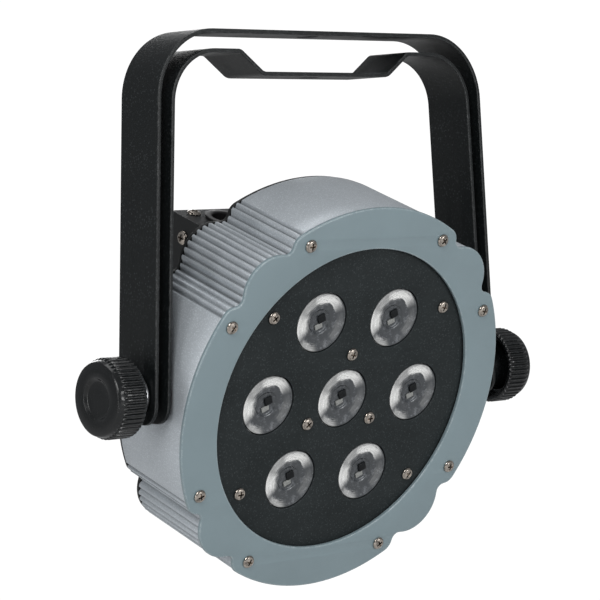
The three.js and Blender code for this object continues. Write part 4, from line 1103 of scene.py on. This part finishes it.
def build_menu():
    pane = box_mesh((-22, BOX_INSIDE - 1, 28.5), (22, BOX_REAR - GAP, 43.5), edge=0.3)
    edge = box_mesh((-24.2, BOX_INSIDE - 2.1, 26.3), (24.2, BOX_INSIDE - GAP, 45.7), edge=0.2)
    add_piece(
        "display_pane", merged(pane, edge), smoked_window, "head", DISC,
        ["display_window"],
    )
    cap = turned(
        [
            (0, BOX_INSIDE - 2.3), (5.2, BOX_INSIDE - 2.3),
            (5.2, BOX_INSIDE - GAP), (4, BOX_INSIDE - GAP),
            (4, BOX_REAR + 2.4), (2.6, BOX_REAR + 2.4), (0, BOX_REAR + 2.1),
        ],
        "y", 48, edge=0.5,
    )
    for index, x in enumerate(BUTTON_PLACES):
        add_piece(
            f"menu_button_{index + 1}_cap", moved(cap, (x, 0, BUTTON_HEIGHT)), black_moulding,
            f"button_{index + 1}", DISC, [f"menu_button_{index + 1}"],
        )


# ------------------------------------------------------------ yokes


def strap_run(corners, radii):
    """Straights and bends of a strap's outer face, as functions of distance along it."""
    parts, here = [], Vector(corners[0])
    for index in range(1, len(corners)):
        corner = Vector(corners[index])
        into = (corner - Vector(corners[index - 1])).normalized()
        if index == len(corners) - 1:
            parts.append(("straight", here, into, (corner - here).length))
            break
        out = (Vector(corners[index + 1]) - corner).normalized()
        turn = math.atan2(into.x * out.y - into.y * out.x, into.dot(out))
        reach = radii[index] * math.tan(abs(turn) / 2)
        start = corner - into * reach
        parts.append(("straight", here, into, (start - here).length))
        parts.append(("bend", start, into, abs(turn) * radii[index], turn, radii[index]))
        here = corner + out * reach
    return parts


def strap_spot(parts, along, depth):
    """The point at a distance along the strap and a depth below its outer face."""
    for part in parts:
        start, into, length = part[1], part[2], part[3]
        if along <= length + 1e-9 or part is parts[-1]:
            break
        along -= length
    right = Vector((into.y, -into.x))
    if part[0] == "straight":
        return start + into * along + right * depth
    turn, radius = part[4], part[5]
    side = math.copysign(1, turn)
    centre = start - right * side * radius
    swing = Matrix.Rotation(turn * along / length, 2)
    return centre + swing @ (right * side * radius) + (swing @ right) * depth


def build_strap(name, body, size, saddle, place):
    """A flat bar with rounded ends, holes and edges, bent along its run."""
    lean = math.tan(math.radians(size["splay"]))
    foot = size["half"] + YOKE_TAIL * lean
    shoulder = size["half"] - size["height"] * lean
    height = size["height"]
    corners = [(-foot, -YOKE_TAIL), (-shoulder, height)]
    if saddle:
        low = height - saddle["depth"]
        corners += [
            (-saddle["top"], height), (-saddle["bottom"], low),
            (saddle["bottom"], low), (saddle["top"], height),
        ]
    corners += [(shoulder, height), (foot, -YOKE_TAIL)]
    radii = [
        size["bend"] if index in (1, len(corners) - 2) else SADDLE["bend"]
        for index in range(len(corners))
    ]
    parts = strap_run(corners, radii)
    total = sum(part[3] for part in parts)
    half = YOKE_WIDTH / 2
    outline = []
    for (x, y), start in (
        ((total - TAIL_CORNER, half - TAIL_CORNER), 0), ((TAIL_CORNER, half - TAIL_CORNER), 90),
        ((TAIL_CORNER, TAIL_CORNER - half), 180), ((total - TAIL_CORNER, TAIL_CORNER - half), 270),
    ):
        for step in range(13):
            a, b = polar(TAIL_CORNER, start + 90 * step / 12)
            outline.append((x + a, y + b))
    pivot = YOKE_TAIL / math.cos(math.radians(size["splay"]))
    holes = [
        round_loop((pivot, 0), STUD_HOLE, 48), round_loop((total - pivot, 0), STUD_HOLE, 48),
        round_loop((total / 2, 0), CLAMP_HOLE, 64),
    ]
    mesh = sheet_mesh(outline, holes, 0.0, STRAP, edge=0.4, steps=3)
    made = bmesh.new()
    made.from_mesh(mesh)
    distance = 0.0
    for part in parts:
        if part[0] == "bend":
            count = max(4, int(math.degrees(abs(part[4])) / 3.5))
            for step in range(count + 1):
                cut_at = distance + part[3] * step / count
                bmesh.ops.bisect_plane(
                    made, geom=made.verts[:] + made.edges[:] + made.faces[:],
                    plane_co=(cut_at, 0, 0), plane_no=(1, 0, 0), dist=1e-5,
                )
        distance += part[3]
    for vertex in made.verts:
        along, depth, across = vertex.co
        spot = strap_spot(parts, along, depth)
        vertex.co = (spot.x, across, spot.y)
    made.to_mesh(mesh)
    made.free()
    tidy_mesh(mesh, 26)
    add_piece(f"{name}_strap", mesh, strap_coat, body, place, [name])


# ------------------------------------------------------------ pivot hardware


def knob_mesh():
    """A fluted clamping knob on the X axis: hub inward, chamfer and dished face outward."""
    start, end, face = 118.5, 131.0, 134.5
    rim, core, flutes = 19.3, 18.2, 48
    flute = (1.0, 0.97, 0.25, 0.03, 0.0, 0.03, 0.25, 0.97)
    around = len(flute)
    # Each row is radius at a flute's root, radius at its crest, and distance.
    rows = [
        (4.3, 4.3, 126.3), (4.3, 4.3, 113.9), (11.0, 11.0, 113.9), (11.0, 11.0, start + 0.5),
        (13.0, 13.0, start + 7.0), (16.2, 16.2, start + 7.0), (16.2, 16.2, start + 0.3),
        (16.5, 16.5, start), (18.0, 18.1, start), (core, 18.9, start + 0.5),
        (core, rim, start + 1.2), (core, rim, 121.5), (core, rim, 124.5), (core, rim, 127.5),
        (core, rim, end - 1.0), (core, 19.0, end - 0.3), (core - 0.1, 18.5, end + 0.3),
        (18.3, 18.3, end + 0.7), (17.8, 17.8, 133.2), (17.5, 17.5, 134.0), (17.1, 17.1, 134.4),
        (16.8, 16.8, face),
        (13.0, 13.0, face), (10.5, 10.5, face), (10.15, 10.15, face - 0.10),
        (9.8, 9.8, face - 0.5), (9.0, 9.0, face - 1.05), (8.7, 8.7, face - 1.25),
        (8.2, 8.2, face - 1.3), (4.0, 4.0, face - 1.3),
    ]
    rings = [[(126.3, 0.0, 0.0)]]
    for root, crest, distance in rows:
        ring = []
        for index in range(flutes * around):
            radius = root + (crest - root) * flute[index % around]
            a, b = polar(radius, 360 * index / (flutes * around))
            ring.append((distance, a, b))
        rings.append(ring)
    rings.append([(face - 1.3, 0.0, 0.0)])
    return loft(rings, sharp_angle=48)


def build_pivot_side(label, side):
    flip = Matrix.Rotation(math.pi if side < 0 else 0, 4, "Z")
    place, head_place = PIVOT @ flip, HEAD @ flip
    clamp, washer_body = f"{label}_clamp", f"{label}_washer"
    add_piece(
        f"{label}_knob_grip", knob_mesh(), knob_plastic, clamp, place,
        [f"{label}_knob"],
    )
    stud = rod(4, 85.5, 126.0, "x", edge=0.4)
    add_piece(
        f"{label}_stud_rod", stud, zinc, clamp, place, [f"{label}_knob_stud"]
    )
    rings = (
        ("knob_washer", 11.0, STUD_HOLE, 112.0, 113.6, zinc, "zinc_steel", washer_body, place),
        ("spacer_bush", 8.0, STUD_HOLE, 104.3, 108.5, black_moulding, "black_moulding", "yoke",
         place),
        ("friction_washer", 10.0, STUD_HOLE, 98.6, 100.8, fibre_sheet, "fibre", "head",
         head_place),
    )
    for kind, outer, inner, start, end, look, slot, body, where in rings:
        profile = [(inner, start), (outer, start), (outer, end), (inner, end)]
        mesh = turned(profile, "x", 72, edge=0.25, closed=True)
        add_piece(f"{label}_{kind}_ring", mesh, look, body, where, [f"{label}_{kind}"])


# ------------------------------------------------------------ build everything

build_bezel()
build_lens_plate()
build_housing()
build_rear_cover()
build_lenses()
build_led_board()
build_screws()
build_rear_box()
build_data_sockets()
build_power_sockets()
build_menu()
build_strap("outer_yoke", "yoke", OUTER_YOKE, None, PIVOT)
build_strap("inner_yoke", "stand_yoke", INNER_YOKE, SADDLE, PIVOT)
build_pivot_side("left", -1)
build_pivot_side("right", 1)

carried_over = {
    "led_carrier": bare_metal, "box_tray": zinc, "driver_board": green_mask,
    "control_board": green_mask, "left_pivot_insert": zinc, "right_pivot_insert": zinc,
}
for node, look in carried_over.items():
    slots = frame["nodes"][node].data.materials
    slots.clear()
    slots.append(look)

# ------------------------------------------------------------ floor and light

SEEN_WHITE = 1.05


def show_to_camera(tree, lit, seen):
    """One shader for the light in the scene, and another for what the camera sees."""
    path = add_node(tree, "ShaderNodeLightPath")
    mix = add_node(
        tree, "ShaderNodeMixShader", {"Fac": path.outputs["Is Camera Ray"], 1: lit, 2: seen}
    )
    return mix.outputs["Shader"]


def stage_material():
    """A pale matt floor."""
    material, tree, shader = begin_material("pale_floor")
    mottle = place_group(tree, PATCHES, {"Scale": 3.0, "Low": 0.2, "High": 0.9})["Mask"]
    tone = blend(tree, mottle, rgba((0.70, 0.70, 0.70)), rgba((0.66, 0.66, 0.66)))
    set_inputs(
        tree, shader, {"Base Color": tone, "Roughness": 0.9, "Specular IOR Level": 0.1}
    )
    bright = add_node(tree, "ShaderNodeEmission", {"Strength": SEEN_WHITE})
    seen = show_to_camera(tree, shader.outputs["BSDF"], bright.outputs["Emission"])
    set_inputs(tree, tree.nodes["Material Output"], {"Surface": seen})
    return material


def add_floor(height, size=30.0):
    mesh = bpy.data.meshes.new("floor")
    corners = [(-size, -size), (size, -size), (size, size), (-size, size)]
    mesh.from_pydata([(x, y, height) for x, y in corners], [], [(0, 1, 2, 3)])
    mesh.materials.append(stage_material())
    floor = bpy.data.objects.new("floor", mesh)
    bpy.context.scene.collection.objects.link(floor)


def add_soft_light(name, spot, aim, size, power, color=(1, 1, 1)):
    light = bpy.data.lights.new(name, "AREA")
    light.shape = "RECTANGLE"
    light.size, light.size_y = size
    light.energy = power
    light.color = color
    lamp = bpy.data.objects.new(name, light)
    bpy.context.scene.collection.objects.link(lamp)
    lamp.location = spot
    lamp.rotation_euler = (Vector(aim) - Vector(spot)).to_track_quat("-Z", "Y").to_euler()


def make_world():
    """Soft daylight all round, and plain white behind the object."""
    world = bpy.data.worlds.new("studio")
    bpy.context.scene.world = world
    world.use_nodes = True
    tree = world.node_tree
    tree.nodes.clear()
    lit, seen = (
        add_node(tree, "ShaderNodeBackground", {"Color": rgba(color), "Strength": strength})
        for color, strength in (((0.95, 0.97, 1.0), 0.30), ((1.0, 1.0, 1.0), SEEN_WHITE))
    )
    shown = show_to_camera(tree, lit.outputs["Background"], seen.outputs["Background"])
    add_node(tree, "ShaderNodeOutputWorld", {"Surface": shown})


make_world()
add_floor(-0.46)
centre = (0.0, 0.0, -0.16)
add_soft_light("key_light", (-1.5, -1.2, 1.0), centre, (0.9, 0.9), 26.0)
add_soft_light("front_light", (0.5, -2.0, 0.1), centre, (1.1, 0.7), 20.0)
add_soft_light("side_light", (-1.9, 0.2, -0.1), centre, (0.4, 1.2), 9.0)
add_soft_light("top_light", (0.0, 0.3, 1.6), centre, (1.0, 1.0), 6.5)
add_soft_light("back_light", (0.9, 1.8, 0.4), centre, (1.0, 0.8), 9.0)

bpy.context.scene.view_settings.view_transform = "Standard"
bpy.context.scene.view_settings.look = "None"
